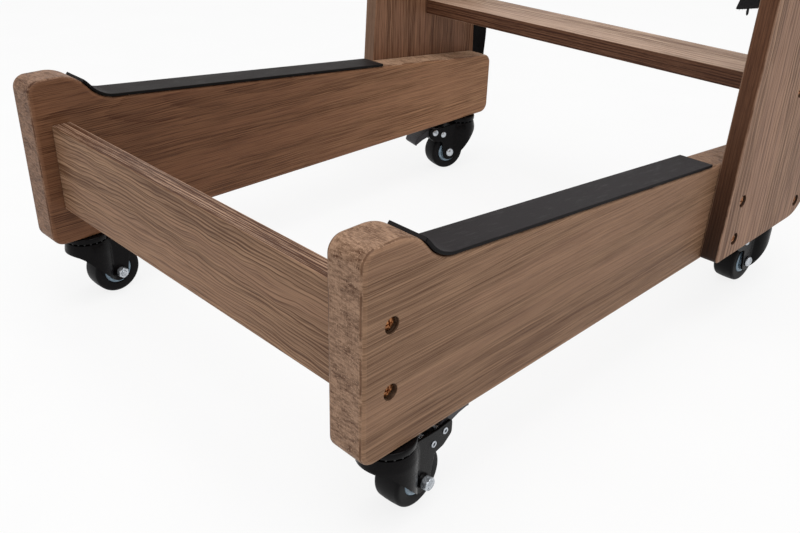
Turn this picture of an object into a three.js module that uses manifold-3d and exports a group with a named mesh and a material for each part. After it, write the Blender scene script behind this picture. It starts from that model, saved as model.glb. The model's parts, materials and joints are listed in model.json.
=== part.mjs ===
// Rolling timber load stand: two lipped side rails on edge with rubber treads, a front board,
// two leaning uprights joined by two flat cross rails, two webbing tie straps and four
// swivel casters with foot brakes. Millimetres, +Z up, +Y to the rear, +X to the right.
import * as THREE from 'three';
import { mergeVertices } from 'three/addons/utils/BufferGeometryUtils.js';
import Module from 'manifold-3d';

const wasm = await Module();
wasm.setup();

// ---------------------------------------------------------------- driving dimensions
const seatGap = 0.3; // gap left between two solids that bear on each other

// side rails
const railLength = 640;
const railThickness = 34;
const innerWidth = 400; // between the rails' inner faces
const railRearHeight = 80;
const seatSlope = THREE.MathUtils.degToRad(5.5);
const lipFlat = 28; // length of the level top of the lip
const lipRise = 28.3; // lip top above the foot of its curve
const lipCurveRadius = 36;
const railCornerRadius = 12;
const railEdgeRound = 3.5;

// rubber treads
const treadThickness = 3;
const treadStart = 50; // from the rails' front ends
const treadToUpright = 16; // clear wood between tread and upright

// boards
const boardThickness = 18;
const boardEdgeRound = 1.2;
const frontBoardHeight = 83;
const frontBoardLift = 37; // above the rails' bottom edges
const frontBoardSetback = 16;

// uprights
const uprightHeight = 820;
const uprightDepth = 200; // at the foot
const uprightOverhang = 5; // behind the rails' rear ends
const uprightLift = 2.5; // foot above the rails' bottom edges
const uprightFrontLean = THREE.MathUtils.degToRad(3.15);
const uprightRearLean = THREE.MathUtils.degToRad(2.4);
const uprightHeelRadius = 38;
const uprightToeRadius = 5;
const uprightTopRadius = 30;

// cross rails
const crossRailDepth = 69;
const lowerCrossRailLift = 143; // underside above the rails' bottom edges
const lowerCrossRailToRear = 28; // its rear edge to the rails' rear ends
const upperCrossRailDrop = 50; // its top below the uprights' tops

// wood screws in counterbores
const screwHeadRadius = 5.6;
const screwHeadHeight = 3;
const screwShankRadius = 2.8;
const railCounterboreRadius = 7.2;
const railCounterboreDepth = 7;
const boardCounterboreRadius = 6.2;
const boardCounterboreDepth = 5.6;
const frontBoardScrewInset = 16; // from the board's long edges
const frontBoardScrewLength = 62;
const uprightScrewLength = 40;
const uprightScrewInset = 30; // from the upright's front and rear edges
const uprightScrewLow = 20; // above the rails' bottom edges
const uprightScrewHigh = 60;
const crossRailScrewLength = 50;
const crossRailScrewInset = 12;

// webbing tie straps
const strapWidth = 25;
const strapThickness = 1.6;
const leftStrapScrewHeight = 300; // above the rails' bottom edges
const rightStrapScrewHeight = 365;
const strapHeadStart = 14; // strap left above its screw
const strapScrewRadius = 2.4;
const strapScrewLength = 24;
const strapScrewCover = 4; // wood left behind the screw's point
const strapWasherRadius = 8;
const rightStrapScrewSetback = 57; // from the upright's front edge

// casters
const wheelRadius = 25;
const wheelWidth = 23;
const tyreHeadroom = 23; // tyre top to the rail's underside
const casterInset = 40; // swivel axis to the rail's end
const casterTrail = 23;
const casterHeadRadius = 21.5;
const capHeight = 5.2;
const capPlate = 2.5;
const capWall = 1.5;
const capEdge = 0.8; // chamfers on the cap and the insert
const crownRadius = 20.8;
const crownTop = 7.6; // crown's top face below the rail
const crownPlate = 3;
const skirtRadius = 22.6; // of the hood's round front, about the swivel
const skirtDrop = 11; // its lower edge in front, below the crown's top
const stemRadius = 5;
const insertRadius = 7.5;
const insertLength = 22;
const kingpinRadius = 4;
const kingpinHeadRadius = 6.5;
const kingpinHeadHeight = 2.4;
const forkWall = 2.2;
const forkSideClearance = 1.7; // wheel's side to the fork's inner face
const forkSpan = 60; // tools that cut right across the fork
const axleBossRadius = 9.5; // of the fork's legs, about the axle
const hubRadius = 16.5;
const hubBossRadius = 6.5;
const hubBossProud = 1.3;
const hubRingInner = 12.6;
const hubRingOuter = 15.6;
const hubRingProud = 0.8;
const axleRadius = 3;
const axleRunningGap = 0.08;
const nutAcrossFlats = 10;
const nutHeight = 5;
const washerRadius = 6.5;
const washerThickness = 1;
const leverSheet = 1.5;
const pivotAboveTyre = 14.8; // lever pivot to the tyre's tread
const pivotAngle = 52.5; // about the axle, up from level
const rivetAboveTyre = 4.2;
const rivetAngle = 68;
const brakeGap = 2.2; // released brake tongue to the tyre's tread
const brakeAngle = 40;
const rivetRadius = 2.4;
const rivetHeadRadius = 4;
const rivetHeadHeight = 1.6;
const raceInner = 13;
const raceOuter = 17;

// rest headings of the trailing wheels, counter-clockwise from straight back
const casters = [
  { name: 'front_left', side: -1, end: 'front', heading: 1 },
  { name: 'front_right', side: 1, end: 'front', heading: 4.8 },
  { name: 'rear_left', side: -1, end: 'rear', heading: 165 },
  { name: 'rear_right', side: 1, end: 'rear', heading: 178 },
];

// ---------------------------------------------------------------- derived places
const railInner = innerWidth / 2;
const railOuter = railInner + railThickness;
const railMiddle = (railInner + railOuter) / 2;
const uprightInner = railOuter;
const uprightOuter = uprightInner + boardThickness;
const uprightRearFoot = railLength + uprightOverhang;
const uprightFrontFoot = uprightRearFoot - uprightDepth;
const heelCentreHeight = uprightLift + uprightHeelRadius;
const overallDepth = uprightRearFoot - heelCentreHeight * Math.tan(uprightRearLean)
  - uprightHeelRadius * (1 / Math.cos(uprightRearLean) - 1);
const uprightTop = uprightLift + uprightHeight;
const axleDrop = tyreHeadroom + wheelRadius; // axle below the rail
const casterHeight = axleDrop + wheelRadius; // floor to rail
const shankHoleRadius = screwShankRadius + 3 * seatGap;
const lowerCrossRailRear = railLength - lowerCrossRailToRear;
const forkInner = wheelWidth / 2 + forkSideClearance;
const forkOuter = forkInner + forkWall;

// ---------------------------------------------------------------- materials
function finish(color, roughness, metalness = 0) {
  return new THREE.MeshStandardMaterial({ color, roughness, metalness });
}
const finishes = {
  stainedWood: () => finish(0x8a7059, 0.6),
  rubber: () => finish(0x3a3a3d, 0.75),
  bronzedSteel: () => finish(0x8a4a28, 0.35, 0.9),
  webbing: () => finish(0x1b1a1d, 0.85),
  blackSteel: () => finish(0x1c1c1e, 0.45, 0.3),
  zincSteel: () => finish(0xb9bcc0, 0.3, 0.9),
  tyre: () => finish(0x202022, 0.55),
  greyNylon: () => finish(0x76889a, 0.5),
};

// ---------------------------------------------------------------- solid tools
function toSolid(geometry) {
  const bare = geometry.clone();
  bare.deleteAttribute('normal');
  bare.deleteAttribute('uv');
  const merged = mergeVertices(bare, 1e-4);
  return new wasm.Manifold(new wasm.Mesh({
    numProp: 3,
    vertProperties: new Float32Array(merged.attributes.position.array),
    triVerts: new Uint32Array(merged.index.array),
  }));
}

function toGeometry(solid) {
  const mesh = solid.getMesh();
  const geometry = new THREE.BufferGeometry();
  geometry.setAttribute('position', new THREE.BufferAttribute(mesh.vertProperties, 3));
  geometry.setIndex(new THREE.BufferAttribute(mesh.triVerts, 1));
  return geometry;
}

function join(...geometries) {
  return toGeometry(geometries.map(toSolid).reduce((a, b) => a.add(b)));
}

function cut(body, ...tools) {
  return toGeometry(tools.map(toSolid).reduce((a, b) => a.subtract(b), toSolid(body)));
}

function common(a, b) {
  return toGeometry(toSolid(a).intersect(toSolid(b)));
}

function addMesh(parent, name, geometry, material) {
  const mesh = new THREE.Mesh(geometry, material);
  mesh.name = name;
  parent.add(mesh);
  return mesh;
}

// A closed outline through corners [x, y, radius], each corner rounded by an arc.
function roundedShape(corners) {
  const shape = new THREE.Shape();
  const points = corners.map(([x, y]) => new THREE.Vector2(x, y));
  const count = corners.length;
  corners.forEach(([, , radius], i) => {
    const corner = points[i];
    const toLast = points[(i + count - 1) % count].clone().sub(corner).normalize();
    const toNext = points[(i + 1) % count].clone().sub(corner).normalize();
    const half = Math.acos(THREE.MathUtils.clamp(toLast.dot(toNext), -1, 1)) / 2;
    const run = radius / Math.tan(half);
    const start = corner.clone().addScaledVector(toLast, run);
    const middle = toLast.clone().add(toNext).normalize();
    const centre = corner.clone().addScaledVector(middle, radius / Math.sin(half));
    const end = corner.clone().addScaledVector(toNext, run);
    const turnsLeft = toLast.cross(toNext) < 0;
    const angleOf = (p) => Math.atan2(p.y - centre.y, p.x - centre.x);
    if (i === 0) shape.moveTo(start.x, start.y);
    else shape.lineTo(start.x, start.y);
    if (radius > 0) {
      shape.absarc(centre.x, centre.y, radius, angleOf(start), angleOf(end), !turnsLeft);
    }
  });
  shape.closePath();
  return shape;
}

// Extrude an outline by `depth`, with its two face edges rounded by `round`.
function slab(shape, depth, round = 0, curveSegments = 3, roundSegments = 2) {
  return new THREE.ExtrudeGeometry(shape, {
    depth: depth - 2 * round,
    bevelEnabled: round > 0,
    bevelThickness: round,
    bevelSize: round,
    bevelOffset: -round,
    bevelSegments: roundSegments,
    curveSegments,
  }).translate(0, 0, round);
}

// Turn an outline drawn in (y, z) so that its extrusion runs along +X, starting at x.
function sideways(geometry, x) {
  const basis = new THREE.Matrix4().makeBasis(
    new THREE.Vector3(0, 1, 0), new THREE.Vector3(0, 0, 1), new THREE.Vector3(1, 0, 0));
  return geometry.applyMatrix4(basis).translate(x, 0, 0);
}

// A cylinder along X from x0 to x1 through (y, z).
function crossBar(x0, x1, y, z, radius, segments = 12) {
  return new THREE.CylinderGeometry(radius, radius, Math.abs(x1 - x0), segments)
    .rotateZ(Math.PI / 2).translate((x0 + x1) / 2, y, z);
}

// A solid of revolution about Z from a profile of [radius, z] that starts and ends on the axis.
function turned(profile, segments = 24) {
  const points = profile.map(([r, z]) => new THREE.Vector2(r, z));
  if (THREE.ShapeUtils.area(points) < 0) points.reverse();
  return new THREE.LatheGeometry(points, segments).rotateX(Math.PI / 2);
}

// A ring about Z from a closed profile of [radius, z].
function turnedRing(profile, segments = 32) {
  return turned([...profile, profile[0]], segments);
}

// ---------------------------------------------------------------- side rails
function seatHeight(y) {
  return railRearHeight + (railLength - y) * Math.tan(seatSlope);
}

// The S-curve between lip and seat: a convex and a concave arc of one radius, met in tangent.
function lipCurve() {
  const r = lipCurveRadius;
  const steepest = Math.acos((1 + Math.cos(seatSlope)) / 2 - lipRise / (2 * r));
  const foot = lipFlat + r * (2 * Math.sin(steepest) - Math.sin(seatSlope));
  const top = seatHeight(foot) + lipRise;
  return {
    steepest,
    foot,
    top,
    convex: { y: lipFlat, z: top - r },
    concave: { y: foot + r * Math.sin(seatSlope), z: seatHeight(foot) + r * Math.cos(seatSlope) },
  };
}
const lip = lipCurve();

function railOutline() {
  const c = railCornerRadius;
  const shape = new THREE.Shape();
  const right = Math.PI / 2;
  const rearTilt = right - seatSlope;
  const rearTop = { y: railLength - c, z: 0 };
  rearTop.z = railRearHeight + c * Math.tan(seatSlope) - c / Math.cos(seatSlope);
  shape.moveTo(c, 0);
  shape.lineTo(railLength - c, 0);
  shape.absarc(railLength - c, c, c, -right, 0, false);
  shape.absarc(rearTop.y, rearTop.z, c, 0, rearTilt, false);
  shape.absarc(lip.concave.y, lip.concave.z, lipCurveRadius,
    -right - seatSlope, -right - lip.steepest, true);
  shape.absarc(lip.convex.y, lip.convex.z, lipCurveRadius, right - lip.steepest, right, false);
  shape.absarc(c, lip.top - c, c, right, 2 * right, false);
  shape.absarc(c, c, c, 2 * right, 3 * right, false);
  return shape;
}

const frontBoardMiddle = frontBoardSetback + boardThickness / 2;
const frontBoardScrews = [
  { at: 'low', y: frontBoardMiddle, z: frontBoardLift + frontBoardScrewInset },
  { at: 'high', y: frontBoardMiddle, z: frontBoardLift + frontBoardHeight - frontBoardScrewInset },
];

function uprightFrontAt(z) {
  return uprightFrontFoot + z * Math.tan(uprightFrontLean);
}

function uprightRearAt(z) {
  return uprightRearFoot - z * Math.tan(uprightRearLean);
}

const uprightScrews = [['low', uprightScrewLow], ['high', uprightScrewHigh]].flatMap(([at, z]) => [
  { at: `front_${at}`, y: uprightFrontAt(uprightScrewLow) + uprightScrewInset, z },
  { at: `rear_${at}`, y: uprightRearFoot - uprightScrewInset, z },
]);

function casterPlace(caster) {
  return {
    x: caster.side * railMiddle,
    y: caster.end === 'front' ? casterInset : railLength - casterInset,
  };
}

// Rails, boards and screws are drawn for the right side; side -1 mirrors their places.
function span(side, a, b) {
  return side > 0 ? [a, b] : [-b, -a];
}

function rail(side) {
  const [x0, x1] = span(side, railInner, railOuter);
  const body = sideways(slab(railOutline(), railThickness, railEdgeRound), x0);
  const [deep0, deep1] = span(side, railOuter - railCounterboreDepth, railOuter + 1);
  const shank = shankHoleRadius;
  const boardHoles = frontBoardScrews.flatMap(({ y, z }) => [
    crossBar(deep0, deep1, y, z, railCounterboreRadius),
    crossBar(x0 - 1, x1 + 1, y, z, shank, 6),
  ]);
  const uprightHoleEnd = uprightOuter - boardCounterboreDepth - uprightScrewLength - 1;
  const [hole0, hole1] = span(side, uprightHoleEnd, railOuter + 1);
  const uprightHoles = uprightScrews.map(({ y, z }) => crossBar(hole0, hole1, y, z, shank, 6));
  const stemHoles = casters.filter((c) => c.side === side).map((c) => {
    const { x, y } = casterPlace(c);
    const depth = insertLength + 2;
    return new THREE.CylinderGeometry(insertRadius + seatGap, insertRadius + seatGap, 2 * depth, 12)
      .rotateX(Math.PI / 2).translate(x, y, 0);
  });
  return cut(body, ...boardHoles, ...uprightHoles, ...stemHoles);
}

// ---------------------------------------------------------------- rubber treads
// The tread follows the rail's top from behind the lip's crest to just before the upright.
function treadOutline() {
  const shape = new THREE.Shape();
  const right = Math.PI / 2;
  const end = uprightFrontAt(seatHeight(uprightFrontFoot)) - treadToUpright;
  const startTurn = Math.asin((treadStart - lip.convex.y) / lipCurveRadius);
  const trace = (out, clockwiseBack) => {
    const convexRadius = lipCurveRadius + out;
    const concaveRadius = lipCurveRadius - out;
    const from = right - startTurn;
    const to = right - lip.steepest;
    if (!clockwiseBack) {
      shape.absarc(lip.convex.y, lip.convex.z, convexRadius, from, to, true);
      shape.absarc(lip.concave.y, lip.concave.z, concaveRadius,
        -right - lip.steepest, -right - seatSlope, false);
    } else {
      shape.absarc(lip.concave.y, lip.concave.z, concaveRadius,
        -right - seatSlope, -right - lip.steepest, true);
      shape.absarc(lip.convex.y, lip.convex.z, convexRadius, to, from, false);
    }
  };
  const normal = new THREE.Vector2(Math.sin(seatSlope), Math.cos(seatSlope));
  const low = new THREE.Vector2(end, seatHeight(end));
  const first = new THREE.Vector2(
    lip.convex.y + (lipCurveRadius + seatGap) * Math.sin(startTurn),
    lip.convex.z + (lipCurveRadius + seatGap) * Math.cos(startTurn));
  shape.moveTo(first.x, first.y);
  trace(seatGap, false);
  shape.lineTo(low.x + normal.x * seatGap, low.y + normal.y * seatGap);
  const out = seatGap + treadThickness;
  shape.lineTo(low.x + normal.x * out, low.y + normal.y * out);
  trace(out, true);
  shape.closePath();
  return shape;
}

function tread(side) {
  const [x0] = span(side, railInner, railOuter);
  return sideways(slab(treadOutline(), railThickness), x0);
}

// ---------------------------------------------------------------- boards
function boardShape(length, depth) {
  const r = boardEdgeRound;
  return roundedShape([[0, 0, r], [length, 0, r], [length, depth, r], [0, depth, r]]);
}

// A board lying across the stand between x = -half and +half, drawn by its (y, z) section.
function crossBoard(half, y, z, depth, height) {
  const bodyShape = boardShape(depth, height);
  const body = sideways(slab(bodyShape, 2 * half, 0, 2), -half);
  return body.translate(0, y, z);
}

function frontBoard() {
  const half = railInner - seatGap;
  const body = crossBoard(half, frontBoardSetback, frontBoardLift, boardThickness, frontBoardHeight);
  const reach = railOuter - railCounterboreDepth - frontBoardScrewLength - 1;
  const holes = [-1, 1].flatMap((side) => frontBoardScrews.map(({ y, z }) => {
    const [x0, x1] = span(side, reach, railInner + 1);
    return crossBar(x0, x1, y, z, shankHoleRadius, 6);
  }));
  return cut(body, ...holes);
}

const lowerCrossRail = {
  rear: lowerCrossRailRear,
  bottom: lowerCrossRailLift,
};
const upperCrossRailBottom = uprightTop - upperCrossRailDrop - boardThickness;
const upperMiddle = (uprightFrontAt(upperCrossRailBottom) + uprightRearAt(upperCrossRailBottom)) / 2;
const upperCrossRail = {
  rear: upperMiddle + crossRailDepth / 2,
  bottom: upperCrossRailBottom,
};

function crossRailScrews({ rear, bottom }) {
  const z = bottom + boardThickness / 2;
  return [
    { at: 'front', y: rear - crossRailDepth + crossRailScrewInset, z },
    { at: 'rear', y: rear - crossRailScrewInset, z },
  ];
}

function crossRail(place) {
  const half = uprightInner - seatGap;
  const body = crossBoard(half, place.rear - crossRailDepth, place.bottom,
    crossRailDepth, boardThickness);
  const reach = uprightOuter - boardCounterboreDepth - crossRailScrewLength - 1;
  const holes = [-1, 1].flatMap((side) => crossRailScrews(place).map(({ y, z }) => {
    const [x0, x1] = span(side, reach, uprightInner + 1);
    return crossBar(x0, x1, y, z, shankHoleRadius, 6);
  }));
  return cut(body, ...holes);
}

const strapPoint = {
  left: {
    x: -(uprightInner + boardThickness / 2 - 2),
    y: uprightRearAt(leftStrapScrewHeight),
    z: leftStrapScrewHeight,
  },
  right: {
    x: uprightInner,
    y: uprightFrontAt(rightStrapScrewHeight) + rightStrapScrewSetback,
    z: rightStrapScrewHeight,
  },
};

function upright(side) {
  const [x0, x1] = span(side, uprightInner + seatGap, uprightOuter);
  const top = uprightTop;
  const outline = roundedShape([
    [uprightFrontAt(uprightLift), uprightLift, uprightToeRadius],
    [uprightRearAt(uprightLift), uprightLift, uprightHeelRadius],
    [uprightRearAt(top), top, uprightTopRadius],
    [uprightFrontAt(top), top, uprightTopRadius],
  ]);
  const body = sideways(slab(outline, boardThickness - seatGap, boardEdgeRound, 3, 1), x0);
  const places = [
    ...uprightScrews,
    ...crossRailScrews(lowerCrossRail),
    ...crossRailScrews(upperCrossRail),
  ];
  const [deep0, deep1] = span(side, uprightOuter - boardCounterboreDepth, uprightOuter + 1);
  const holes = places.flatMap(({ y, z }) => [
    crossBar(deep0, deep1, y, z, boardCounterboreRadius),
    crossBar(x0 - 1, x1 + 1, y, z, shankHoleRadius, 6),
  ]);
  return cut(body, ...holes, strapHole(side));
}

// Stand a piece drawn about Z, with z = 0 at the wood, on the side's strap screw place: the
// left upright's leaning rear edge or the right upright's inner face.
function atStrapScrew(side, geometry) {
  const turnedOut = side > 0
    ? geometry.rotateY(-Math.PI / 2)
    : geometry.rotateX(uprightRearLean - Math.PI / 2);
  const { x, y, z } = side > 0 ? strapPoint.right : strapPoint.left;
  return turnedOut.translate(x, y, z);
}

function strapScrewDepth(side) {
  return side > 0 ? boardThickness - strapScrewCover : strapScrewLength;
}

// The hole for a strap's screw, through the strap and blind in the wood.
function strapHole(side) {
  const radius = strapScrewRadius + seatGap;
  const below = strapScrewDepth(side);
  const above = 3 * strapThickness;
  const hole = new THREE.CylinderGeometry(radius, radius, below + above, 8)
    .rotateX(Math.PI / 2).translate(0, 0, (above - below) / 2);
  return atStrapScrew(side, hole);
}

// ---------------------------------------------------------------- wood screws
// Pan head on a plain shank with a point; the head's underside is at z = 0.
function woodScrew(length) {
  const head = turned([
    [0, 0], [screwHeadRadius, 0], [screwHeadRadius, screwHeadHeight * 0.5],
    [screwHeadRadius * 0.7, screwHeadHeight], [0, screwHeadHeight],
  ], 8);
  const point = 2 * screwShankRadius;
  const shank = turned([
    [0, -length], [screwShankRadius, point - length], [screwShankRadius, 1], [0, 1],
  ], 5);
  return join(head, shank);
}

// One screw node, driven inwards along X with its head seated `seatX` from the middle.
function addScrew(parent, name, side, { y, z }, seatX, length) {
  const mesh = addMesh(parent, name, woodScrew(length), finishes.bronzedSteel());
  mesh.position.set(side * (seatX + seatGap), y, z);
  mesh.rotation.y = side * Math.PI / 2;
}

function addScrews(parent, word, side) {
  const railSeat = railOuter - railCounterboreDepth;
  const boardSeat = uprightOuter - boardCounterboreDepth;
  const add = (place, joint, seatX, length) => {
    addScrew(parent, `screw_${joint}_${word}_${place.at}`, side, place, seatX, length);
  };
  frontBoardScrews.forEach((p) => add(p, 'front_board', railSeat, frontBoardScrewLength));
  uprightScrews.forEach((p) => add(p, 'upright', boardSeat, uprightScrewLength));
  crossRailScrews(lowerCrossRail).forEach((p) => add(p, 'lower_cross', boardSeat, crossRailScrewLength));
  crossRailScrews(upperCrossRail).forEach((p) => add(p, 'upper_cross', boardSeat, crossRailScrewLength));
}

// ---------------------------------------------------------------- tie straps
// A flat ribbon along a smooth route; each point carries the direction of the strap's width.
function ribbon(route, steps) {
  const path = new THREE.CatmullRomCurve3(route.map(({ at }) => new THREE.Vector3(...at)));
  const across = new THREE.CatmullRomCurve3(route.map(({ width }) => new THREE.Vector3(...width)));
  const positions = [];
  for (let i = 0; i <= steps; i += 1) {
    const t = i / steps;
    const point = path.getPoint(t);
    const tangent = path.getTangent(t);
    const width = across.getPoint(t);
    width.addScaledVector(tangent, -width.dot(tangent)).normalize();
    const normal = new THREE.Vector3().crossVectors(tangent, width);
    for (const [w, n] of [[-1, -1], [1, -1], [1, 1], [-1, 1]]) {
      const corner = point.clone()
        .addScaledVector(width, w * strapWidth / 2)
        .addScaledVector(normal, n * strapThickness / 2);
      positions.push(corner.x, corner.y, corner.z);
    }
  }
  const index = [0, 2, 1, 0, 3, 2];
  for (let i = 0; i < steps; i += 1) {
    for (let j = 0; j < 4; j += 1) {
      const a = 4 * i + j;
      const b = 4 * i + (j + 1) % 4;
      index.push(a, b, b + 4, a, b + 4, a + 4);
    }
  }
  const last = 4 * steps;
  index.push(last, last + 1, last + 2, last, last + 2, last + 3);
  const geometry = new THREE.BufferGeometry();
  geometry.setAttribute('position', new THREE.Float32BufferAttribute(positions, 3));
  geometry.setIndex(index);
  return geometry;
}

// The left strap hangs from the upright's rear edge, stands off it a little and ends behind
// the rail. Each point is [shift inwards, stand-off from the edge, drop below the screw].
function leftStrap() {
  const x = -(uprightOuter - strapWidth / 2) + seatGap;
  const off = strapThickness / 2 + seatGap;
  const hang = [[0, 0, -strapHeadStart], [0, 0, 0], [0, 0.3, 16], [1.5, 2.2, 50], [4.5, 5, 100],
    [7, 7.5, 150], [7.6, 8.4, 187], [5, 8, 225], [3, 6.4, 266]];
  const route = hang.map(([shift, out, drop]) => {
    const z = strapPoint.left.z - drop;
    return { at: [x + shift, uprightRearAt(z) + off + out, z], width: [1, 0, 0] };
  });
  return cut(ribbon(route, 16), strapHole(-1));
}

// The right strap lies on the upright's inner face, turns a quarter and ends free in front.
// Each point is [shift inwards, shift forwards, drop below the screw] with its width's direction.
function rightStrap() {
  const off = uprightInner - strapThickness / 2 - seatGap;
  const { y, z } = strapPoint.right;
  const hang = [
    [[0, -1, -strapHeadStart], [0, 1, 0]],
    [[0, 0, 0], [0, 1, 0]],
    [[0, 0, 20], [0, 1, 0]],
    [[0.3, 1, 48], [0.02, 1, 0]],
    [[3, 4, 70], [0.2, 1, 0]],
    [[10.5, 11, 89], [0.75, 0.65, 0.1]],
    [[16.5, 24, 109], [0.93, 0.05, 0.2]],
    [[17, 47, 129], [0.93, -0.21, 0.29]],
  ];
  const route = hang.map(([[inwards, forwards, drop], width]) => ({
    at: [off - inwards, y - forwards, z - drop],
    width,
  }));
  return cut(ribbon(route, 18), strapHole(1));
}

// A washer-head screw through a strap.
function strapScrew(side) {
  const head = strapWasherRadius;
  const length = strapScrewDepth(side) - 1;
  const seat = strapThickness + 2 * seatGap;
  const screw = turned([
    [0, -length], [strapScrewRadius, -length + 3], [strapScrewRadius, seat], [head, seat],
    [head * 0.9, seat + 1.2], [head * 0.58, seat + 1.6], [head * 0.5, seat + 3.2], [0, seat + 3.4],
  ], 12);
  return atStrapScrew(side, screw);
}

// ---------------------------------------------------------------- caster, fixed parts
// Drawn at the swivel axis: z = 0 is the rail's underside, +y is the trailing direction.
const capTop = -seatGap;
const capUnderside = capTop - capPlate;
const kingpinSeat = -(crownTop + crownPlate + seatGap);

// Stem with its screwed-in insert, upper cap and kingpin: riveted up, still under the rail.
function casterStem() {
  const head = casterHeadRadius;
  const rim = capTop - capHeight;
  const cap = turned([
    [0, capTop], [head - capEdge, capTop], [head, capTop - capEdge], [head, rim], [head - capWall, rim],
    [head - capWall, capUnderside], [0, capUnderside],
  ], 18);
  const stem = turned([
    [0, insertLength], [insertRadius - capEdge, insertLength],
    [insertRadius, insertLength - capEdge],
    [insertRadius, seatGap], [stemRadius, seatGap], [stemRadius, capUnderside + 0.5],
    [0, capUnderside + 0.5],
  ], 10);
  const kingpin = turned([
    [0, capTop - 0.5], [kingpinRadius, capTop - 0.5], [kingpinRadius, kingpinSeat],
    [kingpinHeadRadius, kingpinSeat], [kingpinHeadRadius, kingpinSeat - kingpinHeadHeight + 1],
    [kingpinHeadRadius - 1.4, kingpinSeat - kingpinHeadHeight], [0, kingpinSeat - kingpinHeadHeight],
  ], 10);
  return join(cap, stem, kingpin);
}

// ---------------------------------------------------------------- caster fork
const axle = { y: casterTrail, z: -axleDrop };

function fromAxle(distance, degrees) {
  const turn = THREE.MathUtils.degToRad(degrees);
  return { y: axle.y + distance * Math.cos(turn), z: axle.z + distance * Math.sin(turn) };
}
const leverPivot = fromAxle(wheelRadius + pivotAboveTyre, pivotAngle);
const forkRivet = fromAxle(wheelRadius + rivetAboveTyre, rivetAngle);

// The crown: a flat pressed dish with a raised bearing race and the kingpin's hole.
function forkCrown() {
  const bore = kingpinRadius + seatGap;
  const r = crownRadius;
  const plateBottom = -(crownTop + crownPlate);
  return turnedRing([
    [bore, -crownTop], [raceInner, -crownTop], [raceInner, capUnderside - seatGap],
    [raceOuter, capUnderside - seatGap], [raceOuter, -crownTop], [r, -crownTop],
    [r, plateBottom], [bore, plateBottom],
  ], 16);
}

// The hood's plan at one level: an arc about the swivel that meets two parallel legs behind.
function hoodPlan(radius, inset) {
  const leg = forkOuter - inset;
  const front = radius - inset;
  const legEnd = leverPivot.y + 30;
  const meet = Math.acos(leg / front);
  const steps = 10;
  const points = [new THREE.Vector2(-leg, legEnd)];
  for (let i = 0; i <= steps; i += 1) {
    const turn = Math.PI - meet + ((Math.PI + 2 * meet) * i) / steps;
    points.push(new THREE.Vector2(front * Math.cos(turn), front * Math.sin(turn)));
  }
  points.push(new THREE.Vector2(leg, legEnd));
  return points;
}

// Loft between counter-clockwise plans of equal point counts, from the top level down.
function loft(levels) {
  const count = levels[0].plan.length;
  const positions = levels.flatMap(({ z, plan }) => plan.flatMap((p) => [p.x, p.y, z]));
  const index = [];
  for (let k = 0; k + 1 < levels.length; k += 1) {
    for (let j = 0; j < count; j += 1) {
      const a = k * count + j;
      const b = k * count + (j + 1) % count;
      index.push(a, a + count, b, b, a + count, b + count);
    }
  }
  const last = (levels.length - 1) * count;
  THREE.ShapeUtils.triangulateShape(levels[0].plan, []).forEach(([a, b, c]) => {
    index.push(a, b, c, a + last, c + last, b + last);
  });
  const geometry = new THREE.BufferGeometry();
  geometry.setAttribute('position', new THREE.Float32BufferAttribute(positions, 3));
  geometry.setIndex(index);
  return geometry;
}

// The hood flares from the crown to a round skirt that joins the two flat legs at a crease.
function hoodLoft(inset, top, bottom) {
  const levels = [
    { z: top, radius: crownRadius - 0.4 },
    { z: -(crownTop + 4), radius: (crownRadius + skirtRadius) / 2 },
    { z: -(crownTop + 9), radius: skirtRadius },
    { z: bottom, radius: skirtRadius },
  ];
  return loft(levels.map(({ z, radius }) => ({ z, plan: hoodPlan(radius, inset) })));
}

// The side outline of the pressed sheet: sloping nose, round axle boss, brake arm behind.
function forkSideShape() {
  const boss = axleBossRadius;
  const nose = -(skirtRadius + 2);
  const top = -(crownTop + 0.4);
  const skirt = -(crownTop + skirtDrop);
  return roundedShape([
    [nose, top, 0],
    [nose, skirt + 0.5, 0],
    [nose + 9.5, skirt - 2.5, 10],
    [axle.y - 22, axle.z + 9.5, 8],
    [axle.y - 19, axle.z - 1.5, 5],
    [axle.y - 5, axle.z - boss - 0.3, 8],
    [axle.y + boss, axle.z - boss, boss - 1],
    [axle.y + boss + 3, axle.z + 5, 0],
    [leverPivot.y - 11.5, leverPivot.z - 11.5, 3],
    [leverPivot.y + 5.5, leverPivot.z - 7, 4.5],
    [leverPivot.y + 5.5, leverPivot.z + 4.5, 3.5],
    [crownRadius + 4, leverPivot.z + 3.4, 0],
    [crownRadius - 3, top, 0],
  ]);
}

function fork() {
  const bottom = axle.z - axleBossRadius - 2.5;
  const shell = cut(hoodLoft(0, -(crownTop + 0.2), bottom), hoodLoft(forkWall, -crownTop + 1, bottom - 1));
  const side = sideways(slab(forkSideShape(), forkSpan, 0, 2), -forkSpan / 2);
  const skirt = common(shell, side);
  const bore = crossBar(-forkSpan / 2, forkSpan / 2, axle.y, axle.z, axleRadius + axleRunningGap, 12);
  const pivotPin = crossPin(leverPivot, leverOuter + seatGap);
  const stayRivet = crossPin(forkRivet, forkOuter);
  return cut(join(skirt, forkCrown(), pivotPin, stayRivet), bore);
}

// ---------------------------------------------------------------- wheel, axle and brake
function aboutAxle(geometry) {
  return geometry.rotateY(Math.PI / 2).translate(0, axle.y, axle.z);
}

const hubFace = wheelWidth / 2 - 1;

function tyre() {
  const half = wheelWidth / 2;
  const r = wheelRadius;
  const seat = hubRadius + seatGap;
  return aboutAxle(turnedRing([
    [seat, -hubFace], [r - 3.6, -half], [r - 0.6, -half + 1.8], [r, 0],
    [r - 0.6, half - 1.8], [r - 3.6, half], [seat, hubFace],
  ], 24));
}

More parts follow.
